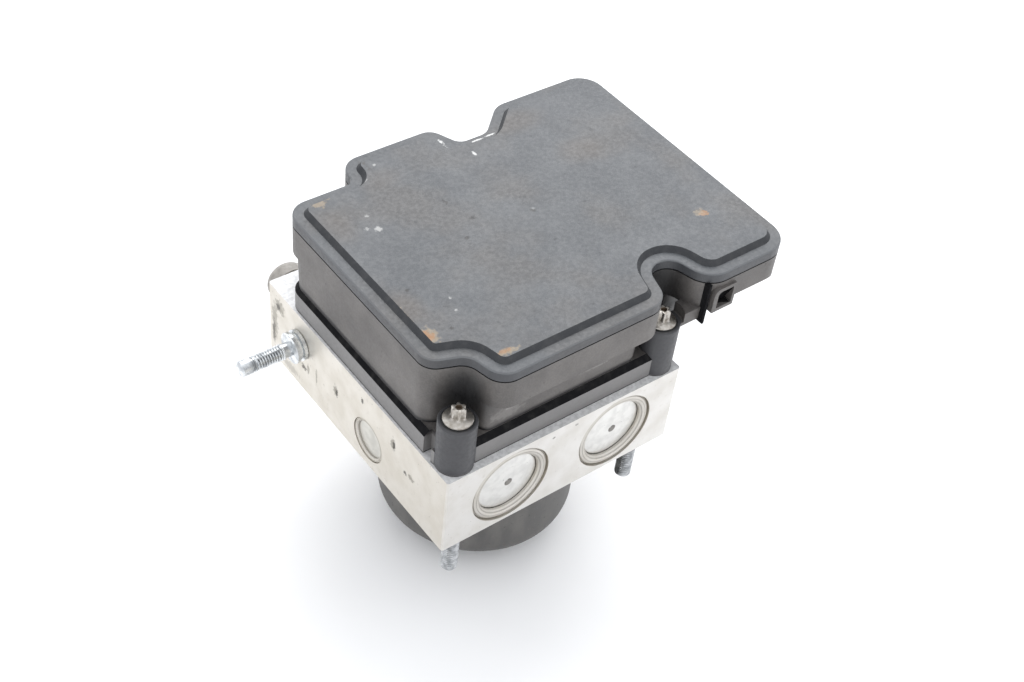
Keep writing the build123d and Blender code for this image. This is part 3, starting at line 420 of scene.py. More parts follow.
@dataclass(frozen=True)
class Collar:
    """A tone around an upright axis, such as a screw boss, in millimetres."""

    x: float
    y: float
    inner: float
    outer: float
    low: float
    tone: Colour
    strength: float
    soft: float = 0.15
    foot_fade: float = 0.1

    def mask(self, shader: Shader) -> Socket:
        """Mask of the collar's faces.

        Args:
            shader: The material being built.

        Returns:
            1 around the axis and 0 elsewhere.
        """
        ring = shader.band(shader.radius_from((self.x, self.y, 0.0), "Z"), self.inner, self.outer, self.soft)
        above = shader.steps(shader.axis_value("Z"), (self.low - self.foot_fade) * MM, self.low * MM)
        return shader.math("MULTIPLY", ring, above)


@dataclass(frozen=True)
class MouldedPlastic:
    """Glass-filled moulding compound with fine erosion texture and a film of road dust."""

    name: str
    base: Colour
    dust: Colour
    dust_share: float
    rough: float
    erosion: Relief
    zones: tuple[Zone, ...]
    marks: tuple[Mark, ...]
    collars: tuple[Collar, ...] = ()
    tint: Colour | None = None
    clouds: Grain = Grain(16.0, 6.0, 0.34, 0.68)
    mottle: Grain = Grain(1.3, 5.0, 0.3, 0.7, 0.22)
    pale: Grain = Grain(0.8, 2.0, 0.70, 0.78, 0.10)
    patches: Grain = Grain(34.0, 4.0, 0.46, 0.66, 0.45)
    shading: Grain = Grain(0.55, 3.0, 0.25, 0.75, 0.55)
    shading_tone: Colour = (0.62, 0.62, 0.62)
    pits: Grain = Grain(2.6, 1.0, 0.74, 0.80, 0.45)
    pit_dark: float = 0.4
    rough_swing: float = 0.16
    sheen: float = 0.5
    waves: Relief = Relief(5.0, 3.0, 0.05)

    def make(self) -> bpy.types.Material:
        """Builds the material.

        Returns:
            The finished material.
        """
        shader = Shader(self.name)
        mottle = shader.grain(self.mottle)
        layers = (
            (shader.grain(self.clouds), self.dust_share),
            (mottle, self.mottle.share),
            (shader.grain(self.pale), self.pale.share),
        )
        film = shader.fold("ADD", [shader.math("MULTIPLY", mask, share) for mask, share in layers])
        colour = shader.mix(film, self.base, self.dust)
        if self.tint is not None:
            colour = shader.lay_grain(self.patches, colour, self.tint)
        colour = shader.lay_grain(self.shading, colour, self.shading_tone, Blend.MULTIPLY)
        colour = shader.lay_grain(self.pits, colour, tuple(self.pit_dark * c for c in self.base))
        for spread in (*self.zones, *self.collars):
            colour = shader.lay(spread.mask(shader), spread.strength, colour, spread.tone)
        shader.colour(shader.lay_marks(self.marks, colour))
        shader.roughness(mottle, self.rough_swing, self.rough)
        shader.set(Specular_IOR_Level=self.sheen)
        shader.uneven(self.erosion, self.waves)
        return shader.material


@dataclass(frozen=True)
class StakedRing:
    """A rolled rim around a round cap: where it is and how wide, in millimetres."""

    centre: Point
    axis: str
    inner: float
    outer: float
    ridges: int = 3
    soft: float = 0.25
    reach: float = 5.0
    fade: float = 0.5
    groove: tuple[float, float] = (-0.95, -0.45)

    def masks(self, shader: Shader) -> tuple[Socket, Socket]:
        """Masks of the rim.

        Args:
            shader: The material being built.

        Returns:
            The rim's whole width, and the dark grooves between its ridges.
        """
        radius = shader.radius_from(self.centre, self.axis)
        level = self.centre["XYZ".index(self.axis)] * MM
        depth = shader.math("ABSOLUTE", shader.math("SUBTRACT", shader.axis_value(self.axis), level))
        close = shader.steps(depth, self.reach * MM, (self.reach + self.fade) * MM, turned=True)
        whole = shader.math("MULTIPLY", shader.band(radius, self.inner, self.outer, self.soft), close)
        across = shader.math("SUBTRACT", radius, self.inner * MM)
        share = shader.math("DIVIDE", across, (self.outer - self.inner) * MM)
        wave = shader.math("COSINE", shader.math("MULTIPLY", share, math.tau * self.ridges))
        grooves = shader.math("MULTIPLY", shader.steps(wave, *self.groove, turned=True), whole)
        return whole, grooves


@dataclass(frozen=True)
class MachinedAluminium:
    """Face-milled and lightly etched aluminium with rolled rims, cutter lines and small dings."""

    name: str
    base: Colour
    shade: Colour
    stain: Colour
    rings: tuple[StakedRing, ...]
    marks: tuple[Mark, ...]
    rough: float = 0.42
    clouds: Grain = Grain(9.0, 5.0, 0.3, 0.75)
    stains: Grain = Grain(2.2, 4.0, 0.60, 0.76, 0.22)
    specks: Grain = Grain(1.1, 2.0, 0.72, 0.78, 0.5)
    speck_tone: Colour = (0.20, 0.19, 0.17)
    left_warmth: Colour = (0.95, 0.925, 0.875)
    left_facing: tuple[float, float] = (-0.9, -0.6)
    ring_share: float = 0.45
    groove_share: float = 0.42
    groove_tone: Colour = (0.25, 0.235, 0.205)
    cutter_mm: float = 0.5
    cutter_stretch: Point = (0.06, 0.06, 1.0)
    cutter_depth: float = 0.012
    dings: Grain = Grain(1.4, 2.0, 0.68, 0.74)
    ding_depth: float = 0.03
    groove_depth: float = 0.25
    rough_swing: float = 0.14

    def make(self) -> bpy.types.Material:
        """Builds the material.

        Returns:
            The finished material.
        """
        shader = Shader(self.name)
        clouds = shader.grain(self.clouds)
        colour = shader.mix(clouds, self.base, self.shade)
        side = shader.steps(shader.facing("X"), *self.left_facing, turned=True)
        colour = shader.mix(side, colour, self.left_warmth, Blend.MULTIPLY)
        colour = shader.lay_grain(self.stains, colour, self.stain)
        colour = shader.lay_grain(self.specks, colour, self.speck_tone)
        pairs = [ring.masks(shader) for ring in self.rings]
        whole, grooves = (shader.fold("MAXIMUM", masks) for masks in zip(*pairs))
        colour = shader.lay(whole, self.ring_share, colour, self.stain)
        colour = shader.lay(grooves, self.groove_share, colour, self.groove_tone)
        shader.colour(shader.lay_marks(self.marks, colour))
        shader.set(Metallic=1.0)
        shader.roughness(clouds, self.rough_swing, self.rough)
        lines = shader.noise(self.cutter_mm, 2.0, self.cutter_stretch)
        dings = shader.grain(self.dings)
        flat = shader.math("SUBTRACT", 1.0, grooves)
        shader.bump((lines, self.cutter_depth), (dings, self.ding_depth), (flat, self.groove_depth))
        return shader.material


@dataclass(frozen=True)
class TurnedMetal:
    """Metal turned on a lathe, with concentric tool marks, grime at its rim and painted shade in its centre
    dimple.
    """

    name: str
    base: Colour
    centre: Point
    rim_r: float
    dimple_r: float = 0.0
    axis: str = "Y"
    rough: float = 0.36
    grime: Colour = (0.14, 0.13, 0.115)
    tool_mark_mm: float = 0.45
    clouds: Grain = Grain(3.5, 5.0, 0.35, 0.7)
    cloud_dark: float = 0.88
    specks: Grain = Grain(1.2, 2.0, 0.70, 0.76, 0.4)
    rim_width: float = 0.5
    rim_grime: float = 0.5
    dimple_span: tuple[float, float] = (0.45, 0.95)
    dimple_fade: float = 0.25
    dimple_shade: float = 0.8
    rough_swing: float = 0.12
    tool_mark_depth: float = 0.02

    def make(self) -> bpy.types.Material:
        """Builds the material.

        Returns:
            The finished material.
        """
        shader = Shader(self.name)
        radius = shader.radius_from(self.centre, self.axis)
        tool_marks = shader.nodes.new("ShaderNodeTexNoise")
        tool_marks.noise_dimensions = "1D"
        tool_marks.inputs["Scale"].default_value = 1.0 / (self.tool_mark_mm * MM)
        shader.links.new(radius, tool_marks.inputs["W"])
        clouds = shader.grain(self.clouds)
        colour = shader.mix(clouds, self.base, tuple(self.cloud_dark * c for c in self.base))
        colour = shader.lay_grain(self.specks, colour, self.grime)
        edge = shader.steps(radius, (self.rim_r - self.rim_width) * MM, self.rim_r * MM)
        colour = shader.lay(edge, self.rim_grime, colour, self.grime)
        if self.dimple_r:
            low, high = (share * self.dimple_r for share in self.dimple_span)
            # Painted shade on the walls of the centre dimple.
            pit = shader.band(radius, low, high, self.dimple_fade)
            colour = shader.lay(pit, self.dimple_shade, colour, self.grime)
        shader.colour(colour)
        shader.set(Metallic=1.0)
        shader.roughness(clouds, self.rough_swing, self.rough)
        shader.bump((tool_marks.outputs["Fac"], self.tool_mark_depth))
        return shader.material


@dataclass(frozen=True)
class PlatedSteel:
    """Zinc plated or ground steel, slightly cloudy, with grime in the roots of its thread."""

    name: str
    base: Colour
    tint: Colour
    rough: float
    cloud_mm: float
    centre: Point | None = None
    axis: str = "Z"
    thread_span: tuple[float, float] = (0.0, 0.0)
    root_grime: float = 0.0
    root_r: float = 2.66
    grime: Colour = (0.10, 0.10, 0.10)
    specks: Grain = Grain(0.8, 2.0, 0.66, 0.74, 0.35)
    root_fade: float = 0.16
    span_fade: float = 0.05
    rough_swing: float = 0.15
    relief: Relief = Relief(0.4, 2.0, 0.006)

    def make(self) -> bpy.types.Material:
        """Builds the material.

        Returns:
            The finished material.
        """
        shader = Shader(self.name)
        clouds = shader.grain(Grain(self.cloud_mm, 4.0, 0.35, 0.7))
        colour = shader.mix(clouds, self.base, self.tint)
        if self.centre is not None:
            radius = shader.radius_from(self.centre, self.axis)
            root = shader.steps(radius, (self.root_r - self.root_fade) * MM, self.root_r * MM, turned=True)
            span = shader.band(shader.axis_value(self.axis), *self.thread_span, self.span_fade)
            colour = shader.lay(shader.math("MULTIPLY", root, span), self.root_grime, colour, self.grime)
        shader.colour(shader.lay_grain(self.specks, colour, self.grime))
        shader.set(Metallic=1.0)
        shader.roughness(clouds, self.rough_swing, self.rough)
        shader.uneven(self.relief)
        return shader.material


@dataclass(frozen=True)
class GrimyShade:
    """Matte dark tone with hardly any sheen, used as painted shade in troughs, gaps and hollows and on the
    lid's slopes.
    """

    name: str
    base: Colour
    dust: Colour
    rough: float = 0.85
    sheen: float = 0.12
    film: Grain = Grain(3.0, 5.0, 0.42, 0.8, 0.6)
    relief: Relief = Relief(0.6, 3.0, 0.03)

    def make(self) -> bpy.types.Material:
        """Builds the material.

        Returns:
            The finished material.
        """
        shader = Shader(self.name)
        shader.colour(shader.lay_grain(self.film, self.base, self.dust))
        shader.set(Roughness=self.rough, Specular_IOR_Level=self.sheen)
        shader.uneven(self.relief)
        return shader.material


@dataclass(frozen=True)
class CoatedSteel:
    """Steel with a thin dark electro-coat, dusty and a little streaked."""

    name: str
    base: Colour
    dust: Colour
    rough: float
    streaks: Grain = Grain(7.0, 5.0, 0.35, 0.7, 0.55, (1.0, 1.0, 0.35))
    specks: Grain = Grain(0.9, 3.0, 0.62, 0.72, 0.3)
    pits: Grain = Grain(2.0, 2.0, 0.66, 0.74, 0.6)
    pit_tone: Colour = (0.02, 0.02, 0.02)
    rough_swing: float = 0.15
    relief: Relief = Relief(1.2, 3.0, 0.03)

    def make(self) -> bpy.types.Material:
        """Builds the material.

        Returns:
            The finished material.
        """
        shader = Shader(self.name)
        streaks = shader.grain(self.streaks)
        layers = ((streaks, self.streaks.share), (shader.grain(self.specks), self.specks.share))
        film = shader.fold("ADD", [shader.math("MULTIPLY", mask, share) for mask, share in layers])
        colour = shader.mix(film, self.base, self.dust)
        shader.colour(shader.lay_grain(self.pits, colour, self.pit_tone))
        shader.roughness(streaks, self.rough_swing, self.rough)
        shader.uneven(self.relief)
        return shader.material


@dataclass(frozen=True)
class PlainFinish:
    """Simple finish with slight mottling, for small and inner pieces."""

    name: str
    base: Colour
    rough: float
    metallic: float = 0.0
    clouds: Grain = Grain(1.5, 4.0, 0.3, 0.7)
    cloud_dark: float = 0.75
    relief: Relief = Relief(0.5, 2.0, 0.01)

    def make(self) -> bpy.types.Material:
        """Builds the material.

        Returns:
            The finished material.
        """
        shader = Shader(self.name)
        dark = tuple(self.cloud_dark * c for c in self.base)
        shader.colour(shader.mix(shader.grain(self.clouds), self.base, dark))
        shader.set(Metallic=self.metallic, Roughness=self.rough)
        shader.uneven(self.relief)
        return shader.material


# ---------------------------------------------------------------- mesh building
def skin(
    name: str,
    rings: Sequence[Sequence[Sequence[float]]],
    smooth: bool = False,
    inner_from: int | None = None,
) -> bpy.types.Mesh:
    """Skins a row of rings into one closed mesh.

    Args:
        name: The mesh's name.
        rings: Rings of the same number of points, in metres in the row frame.
        smooth: True when the faces between the rings are shaded as one curved surface.
        inner_from: Number of the first ring whose faces take the second material, or None.

    Returns:
        The mesh.
    """
    mesh = bmesh.new()
    grid = [[mesh.verts.new(place) for place in ring] for ring in rings]
    for level, (lower, upper) in enumerate(zip(grid, grid[1:])):
        for n in range(len(lower)):
            after = (n + 1) % len(lower)
            face = mesh.faces.new((lower[n], lower[after], upper[after], upper[n]))
            face.smooth = smooth
            face.material_index = int(inner_from is not None and level >= inner_from)
    mesh.faces.new(list(reversed(grid[0])))
    mesh.faces.new(grid[-1]).material_index = int(inner_from is not None)
    bmesh.ops.recalc_face_normals(mesh, faces=mesh.faces)
    data = bpy.data.meshes.new(name)
    mesh.to_mesh(data)
    mesh.free()
    return data


def link(name: str, data: bpy.types.ID) -> bpy.types.Object:
    """Puts new data into the scene as an object.

    Args:
        name: The object's name.
        data: Its mesh, light or camera.

    Returns:
        The object.
    """
    thing = bpy.data.objects.new(name, data)
    bpy.context.scene.collection.objects.link(thing)
    return thing


def add_piece(
    mesh: bpy.types.Mesh, materials: Sequence[bpy.types.Material], stands_for: str = ""
) -> bpy.types.Object:
    """Links a mesh as a piece that rides on the unit.

    Args:
        mesh: Its mesh, which gives the piece its name.
        materials: Its materials.
        stands_for: The CAD node that it stands for, if any.

    Returns:
        The new piece.
    """
    piece = link(mesh.name, mesh)
    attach(piece, "unit")
    for material in materials:
        mesh.materials.append(material)
    if stands_for:
        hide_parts(stands_for)
    LOG.info("built %s", piece.name)
    return piece


def dress(node: str, material: bpy.types.Material) -> None:
    """Gives a CAD node one material.

    Args:
        node: The node's name.
        material: The material.
    """
    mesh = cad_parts[node].data
    mesh.materials.clear()
    mesh.materials.append(material)
    LOG.info("dressed %s with %s", node, material.name)


def dress_faces(
    node: str,
    materials: tuple[bpy.types.Material, ...],
    pick: Callable[[Vector, Vector], int],
) -> None:
    """Gives a CAD node several materials, chosen face by face.

    Args:
        node: The node's name.
        materials: Its materials.
        pick: Takes a face's centre, in millimetres, and its normal, and gives the material's number.
    """
    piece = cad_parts[node]
    mesh = piece.data
    mesh.materials.clear()
    for material in materials:
        mesh.materials.append(material)
    turn = piece.matrix_world.to_3x3().normalized()
    for face in mesh.polygons:
        centre = (piece.matrix_world @ face.center) / MM
        face.material_index = pick(centre, turn @ face.normal)
    LOG.info("dressed %s with %s", node, ", ".join(material.name for material in materials))


@dataclass(frozen=True)
class Thread:
    """A right-hand screw thread cut into a rod about +Z, in millimetres."""

    major_r: float
    depth: float
    pitch: float
    segments: int = 40
    steps_a_turn: int = 8
    groove_half: float = 0.42
    flank: float = 1.25

    def radius(self, along: float, turn: float, run_out: float) -> float:
        """Radius of the thread's surface.

        Args:
            along: Height above the thread's start, in millimetres.
            turn: Angle about the axis, as a share of a full turn.
            run_out: How much of the depth is cut here, from 0 to 1.

        Returns:
            The radius in millimetres.
        """
        phase = (along / self.pitch - turn) % 1.0
        groove = max(0.0, 1.0 - abs(phase - 0.5) / self.groove_half)
        return self.major_r - self.depth * run_out * min(1.0, groove * self.flank)


@dataclass
class TurnedRod:
    """A rod of plain and threaded stretches along one direction."""

    start: Point
    direction: Axis
    profile: tuple[tuple[float, float, bool], ...]
    thread: Thread
    sharp_deg: float = 38.0

    def stand(self) -> Matrix:
        """Matrix that takes +Z from the origin to the rod's start and direction.

        Returns:
            The matrix, in metres.
        """
        turn = {
            Axis.MINUS_X: Matrix.Rotation(-math.pi / 2, 4, "Y"),
            Axis.MINUS_Z: Matrix.Rotation(math.pi, 4, "X"),
        }[self.direction]
        return Matrix.Translation([c * MM for c in self.start]) @ turn

    def levels(self) -> list[tuple[float, float, float]]:
        """Heights, radii and thread cut of every ring of the grid, in millimetres.

        Returns:
            One row for each ring, from the start on.
        """
        levels = []
        for (low, low_r, _), (high, high_r, threaded) in zip(self.profile, self.profile[1:]):
            step = self.thread.pitch / self.thread.steps_a_turn
            count = max(1, round((high - low) / step)) if threaded else 1
            for n in range(count):
                share = n / count
                edge = min(n, count - n) / self.thread.steps_a_turn
                cut = min(1.0, edge) if threaded else 0.0
                levels.append((low + share * (high - low), low_r + share * (high_r - low_r), cut))
        height, radius, _ = self.profile[-1]
        levels.append((height, radius, 0.0))
        return levels

    def build(self, name: str) -> bpy.types.Mesh:
        """Builds the rod's closed mesh.

        Args:
            name: The mesh's name.

        Returns:
            The mesh.
        """
        stand = self.stand()
        rings = []
        for height, plain_r, cut in self.levels():
            ring = []
            for n in range(self.thread.segments):
                turn = n / self.thread.segments
                r = min(plain_r, self.thread.radius(height, turn, cut)) if cut > 0 else plain_r
                angle = turn * math.tau
                place = (r * MM * math.cos(angle), r * MM * math.sin(angle), height * MM)
                ring.append(stand @ Vector(place))
            rings.append(ring)
        mesh = skin(name, rings, smooth=True)
        mesh.set_sharp_from_angle(angle=math.radians(self.sharp_deg))
        return mesh


# ---------------------------------------------------------------- sub-assemblies
@dataclass
class HydraulicBlock:
    """The drilled valve block with its staked caps, plugs and port plug."""

    left_x: float = -49.0
    right_x: float = 49.0
    front_y: float = -45.0
    cap_x: float = 22.3
    cap_z: float = 65.5
    cap_ring_r: float = 15.6
    cap_lip_r: float = 12.1
    dimple_r: float = 1.5
    pump_z: float = 60.5
    pump_ring_r: float = 8.6
    pump_lip_r: float = 7.1
    plug_at: Point = (-34.0, 65.0, 65.5)
    plug_neck_r: float = 6.4
    plug_neck_end: float = 74.4
    top_z: float = 82.5

    def rings(self) -> tuple[StakedRing, ...]:
        """The rolled rims of the caps and of the pump elements.

        Returns:
            The caps' rims, then the pump elements'.
        """
        caps = tuple(
            StakedRing((side * self.cap_x, self.front_y, self.cap_z), "Y", self.cap_lip_r, self.cap_ring_r)
            for side in (-1, 1)
        )
        pumps = tuple(
            StakedRing((x, 0.0, self.pump_z), "X", self.pump_lip_r, self.pump_ring_r, 1)
            for x in (self.left_x, self.right_x)
        )
        return caps + pumps

    def marks(self) -> tuple[Mark, ...]:
        """Scuffs, stamped dents and grime on the block's faces.

        Returns:
            The marks, lowest first.
        """
        x = self.left_x
        dark = (0.085, 0.078, 0.068)
        grey = (0.30, 0.28, 0.24)
        return (
            Mark((x, -14.7, 72.7), (1.5, 1.7, 3.4), grey, 0.85, 1.2),
            Mark((x, -15.3, 72.2), (1.2, 0.9, 2.4), dark, 0.95, 0.9),
            Mark((x, -25.7, 66.1), (1.2, 2.0, 1.3), grey, 0.85, 0.9),
            Mark((x, -22.3, 65.6), (1.2, 1.2, 1.1), dark, 0.85, 0.6),
            Mark((x, 20.5, 66.7), (1.5, 1.9, 3.2), grey, 0.85, 1.0),
            Mark((x, 19.8, 66.0), (1.2, 0.9, 2.2), dark, 0.95, 0.7),
            Mark((x, 41.3, 60.0), (1.2, 2.0, 1.6), dark, 0.8, 0.8),
            Mark((x, 38.5, 61.5), (1.2, 1.0, 3.0), grey, 0.8, 0.8),
            Mark((x, 33.0, 62.5), (1.2, 0.7, 4.5), grey, 0.7, 0.9),
            Mark((x, 4.0, 76.5), (1.2, 0.8, 1.5), dark, 0.9, 0.6),
            Mark((x, 57.5, 76.0), (1.5, 3.8, 3.8), grey, 0.8, 1.3),
            Mark((x, 58.5, 75.5), (1.5, 1.6, 1.8), dark, 0.8, 0.9),
            Mark((x, 61.0, 67.0), (1.5, 2.4, 10.0), grey, 0.75, 1.5),
            Mark((x, 61.8, 61.0), (1.5, 1.3, 7.0), dark, 0.7, 1.1),
            Mark((x, 52.0, 52.0), (1.5, 9.0, 2.4), grey, 0.5, 1.4),
            Mark((-6.0, self.front_y, 79.0), (0.8, 1.2, 0.6), dark, 0.7, 0.5),
            Mark((3.5, self.front_y, 80.0), (0.9, 1.2, 0.7), dark, 0.5, 0.5),
        )

    def pick_deck(self, centre: Vector, normal: Vector) -> int:
        """Number 1 for the block's upper face, and 0 for the rest."""
        return int(normal.z > NEARLY_UP and centre.z > self.top_z - TOUCH)

    def pick_neck(self, centre: Vector, normal: Vector) -> int:
        """Number 1 for the port plug's neck, and 0 for its head."""
        reach = math.hypot(centre.x - self.plug_at[0], centre.z - self.plug_at[2])
        return int(reach < self.plug_neck_r + TOUCH and centre.y < self.plug_neck_end)

    def dress(self) -> None:
        """Dresses the block, the caps and the pump elements."""
        metal = MachinedAluminium(
            "milled_block",
            (0.70, 0.685, 0.662),
            (0.645, 0.625, 0.59),
            (0.44, 0.405, 0.345),
            rings=self.rings(),
            marks=self.marks(),
        )
        deck = PlainFinish("block_deck", (0.74, 0.74, 0.745), 0.55, 0.2)
        dress_faces("valve_block", (metal.make(), deck.make()), self.pick_deck)
        for side, sign in (("left", -1), ("right", 1)):
            centre = (sign * self.cap_x, self.front_y, self.cap_z)
            cap = TurnedMetal(f"cap_{side}", (0.72, 0.712, 0.69), centre, self.cap_lip_r, self.dimple_r)
            dress(f"accumulator_cap_{side}", cap.make())
            centre = (sign * self.right_x, 0.0, self.pump_z)
            plug = TurnedMetal(f"pump_plug_{side}", (0.60, 0.585, 0.54), centre, self.pump_lip_r, axis="X")
            dress(f"pump_element_{side}", plug.make())
        plug = PlainFinish("grey_plug", (0.31, 0.29, 0.265), 0.5)
        # Very dark painted shade on the port plug's neck below its head.
        neck = GrimyShade("plug_neck_painted_shade", (0.03, 0.03, 0.03), (0.06, 0.055, 0.05))
        dress_faces("port_plug", (plug.make(), neck.make()), self.pick_neck)


@dataclass
class PumpMotor:
    """The motor under the block and what turns inside it."""

    coat: CoatedSteel = CoatedSteel("motor_coat", (0.075, 0.073, 0.070), (0.16, 0.152, 0.142), 0.5)
    inner: dict[str, PlainFinish] = field(
        default_factory=lambda: {
            "magnets": PlainFinish("ferrite", (0.06, 0.06, 0.06), 0.6),
            "armature": PlainFinish("core_sheets", (0.42, 0.42, 0.43), 0.4, 1.0),
            "windings": PlainFinish("enamelled_copper", (0.62, 0.25, 0.10), 0.35, 1.0),
            "commutator": PlainFinish("bare_copper", (0.72, 0.38, 0.22), 0.3, 1.0),
            "brush_plate": PlainFinish("brush_plate_plastic", (0.05, 0.05, 0.05), 0.5),
            "brushes": PlainFinish("brush_carbon", (0.04, 0.04, 0.04), 0.6),
            "motor_shaft": PlainFinish("ground_shaft", (0.62, 0.62, 0.64), 0.2, 1.0),
            "needle_ring": PlainFinish("needle_steel", (0.62, 0.62, 0.64), 0.2, 1.0),
            "ball_bearings": PlainFinish("bearing_steel", (0.60, 0.60, 0.62), 0.22, 1.0),
            "bearing_holder": PlainFinish("holder_steel", (0.50, 0.50, 0.51), 0.35, 1.0),
        }
    )

    def dress(self) -> None:
        """Dresses the can and the inner pieces."""
        dress("motor_can", self.coat.make())
        for node, finish in self.inner.items():
            dress(node, finish.make())


@dataclass
class InnerHydraulics:
    """Pistons, springs, seals, valves and coils, hidden in the closed unit."""

    steel: PlainFinish = PlainFinish("valve_steel", (0.58, 0.58, 0.60), 0.28, 1.0)
    rubber: PlainFinish = PlainFinish("seal_rubber_black", (0.02, 0.02, 0.02), 0.7)
    coil: PlainFinish = PlainFinish("coil_moulding", (0.03, 0.03, 0.032), 0.5)
    light_metal: PlainFinish = PlainFinish("piston_aluminium", (0.72, 0.72, 0.72), 0.35, 1.0)
    spring_wire_r: float = 0.8
    spring_turns: float = 5.0
    closed_turns: float = 0.8
    closed_pitch: float = 1.36
    spring_travel: float = 6.0
    steps_a_turn: int = 28
    wire_sides: int = 10

    def coil_height(self, turn: float, length: float) -> float:
        """Height of the spring's wire, with its end turns closed flat.

        Args:
            turn: Turns wound so far.
            length: Height between the wire's two ends, in metres.

        Returns:
            The height above the lower end, in metres.
        """
        pitch = self.closed_pitch * MM
        left = self.spring_turns - turn
        if turn < self.closed_turns:
            return turn * pitch
        if left < self.closed_turns:
            return length - left * pitch
        rise = self.closed_turns * pitch
        share = (turn - self.closed_turns) / (self.spring_turns - 2.0 * self.closed_turns)
        return rise + share * (length - 2.0 * rise)

    def build_spring(self, side: str, steel: bpy.types.Material) -> None:
        """Builds one accumulator spring, with its end turns closed flat.

        Args:
            side: Which accumulator, left or right.
            steel: The spring's material.
        """
        node = f"accumulator_spring_{side}"
        low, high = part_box(node)
        wire = self.spring_wire_r * MM
        mean = (high.x - low.x) / 2.0 - wire
        x, z = (low.x + high.x) / 2.0, (low.z + high.z) / 2.0
        length = high.y - low.y - 2.0 * wire
        rings = []
        for step in range(int(self.spring_turns * self.steps_a_turn) + 1):
            turn = step / self.steps_a_turn
            angle = math.tau * turn
            along = low.y + wire + self.coil_height(turn, length)
            ring = []
            for n in range(self.wire_sides):
                about = math.tau * n / self.wire_sides
                reach = mean + wire * math.cos(about)
                rise = along + wire * math.sin(about)
                ring.append((x + reach * math.cos(angle), rise, z + reach * math.sin(angle)))
            rings.append(ring)
        mesh = skin(f"return_spring_{side}", rings, smooth=True)
        piece = add_piece(mesh, (steel,), node)
        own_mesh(piece)

    def dress(self) -> None:
        """Dresses every inner hydraulic node."""
        steel = self.steel.make()
        rubber = self.rubber.make()
        light = self.light_metal.make()
        for side in ("left", "right"):
            for node in ("pump_piston", "pump_spring", "accumulator_spring"):
                dress(f"{node}_{side}", steel)
            self.build_spring(side, steel)
            dress(f"accumulator_piston_{side}", light)
            dress(f"accumulator_seal_{side}", rubber)
        valves = [f"{kind}_valves" for kind in ("inlet", "outlet", "switching", "suction")]
        for node in (*valves, "pressure_sensor"):
            dress(node, steel)
        dress("valve_coils", self.coil.make())


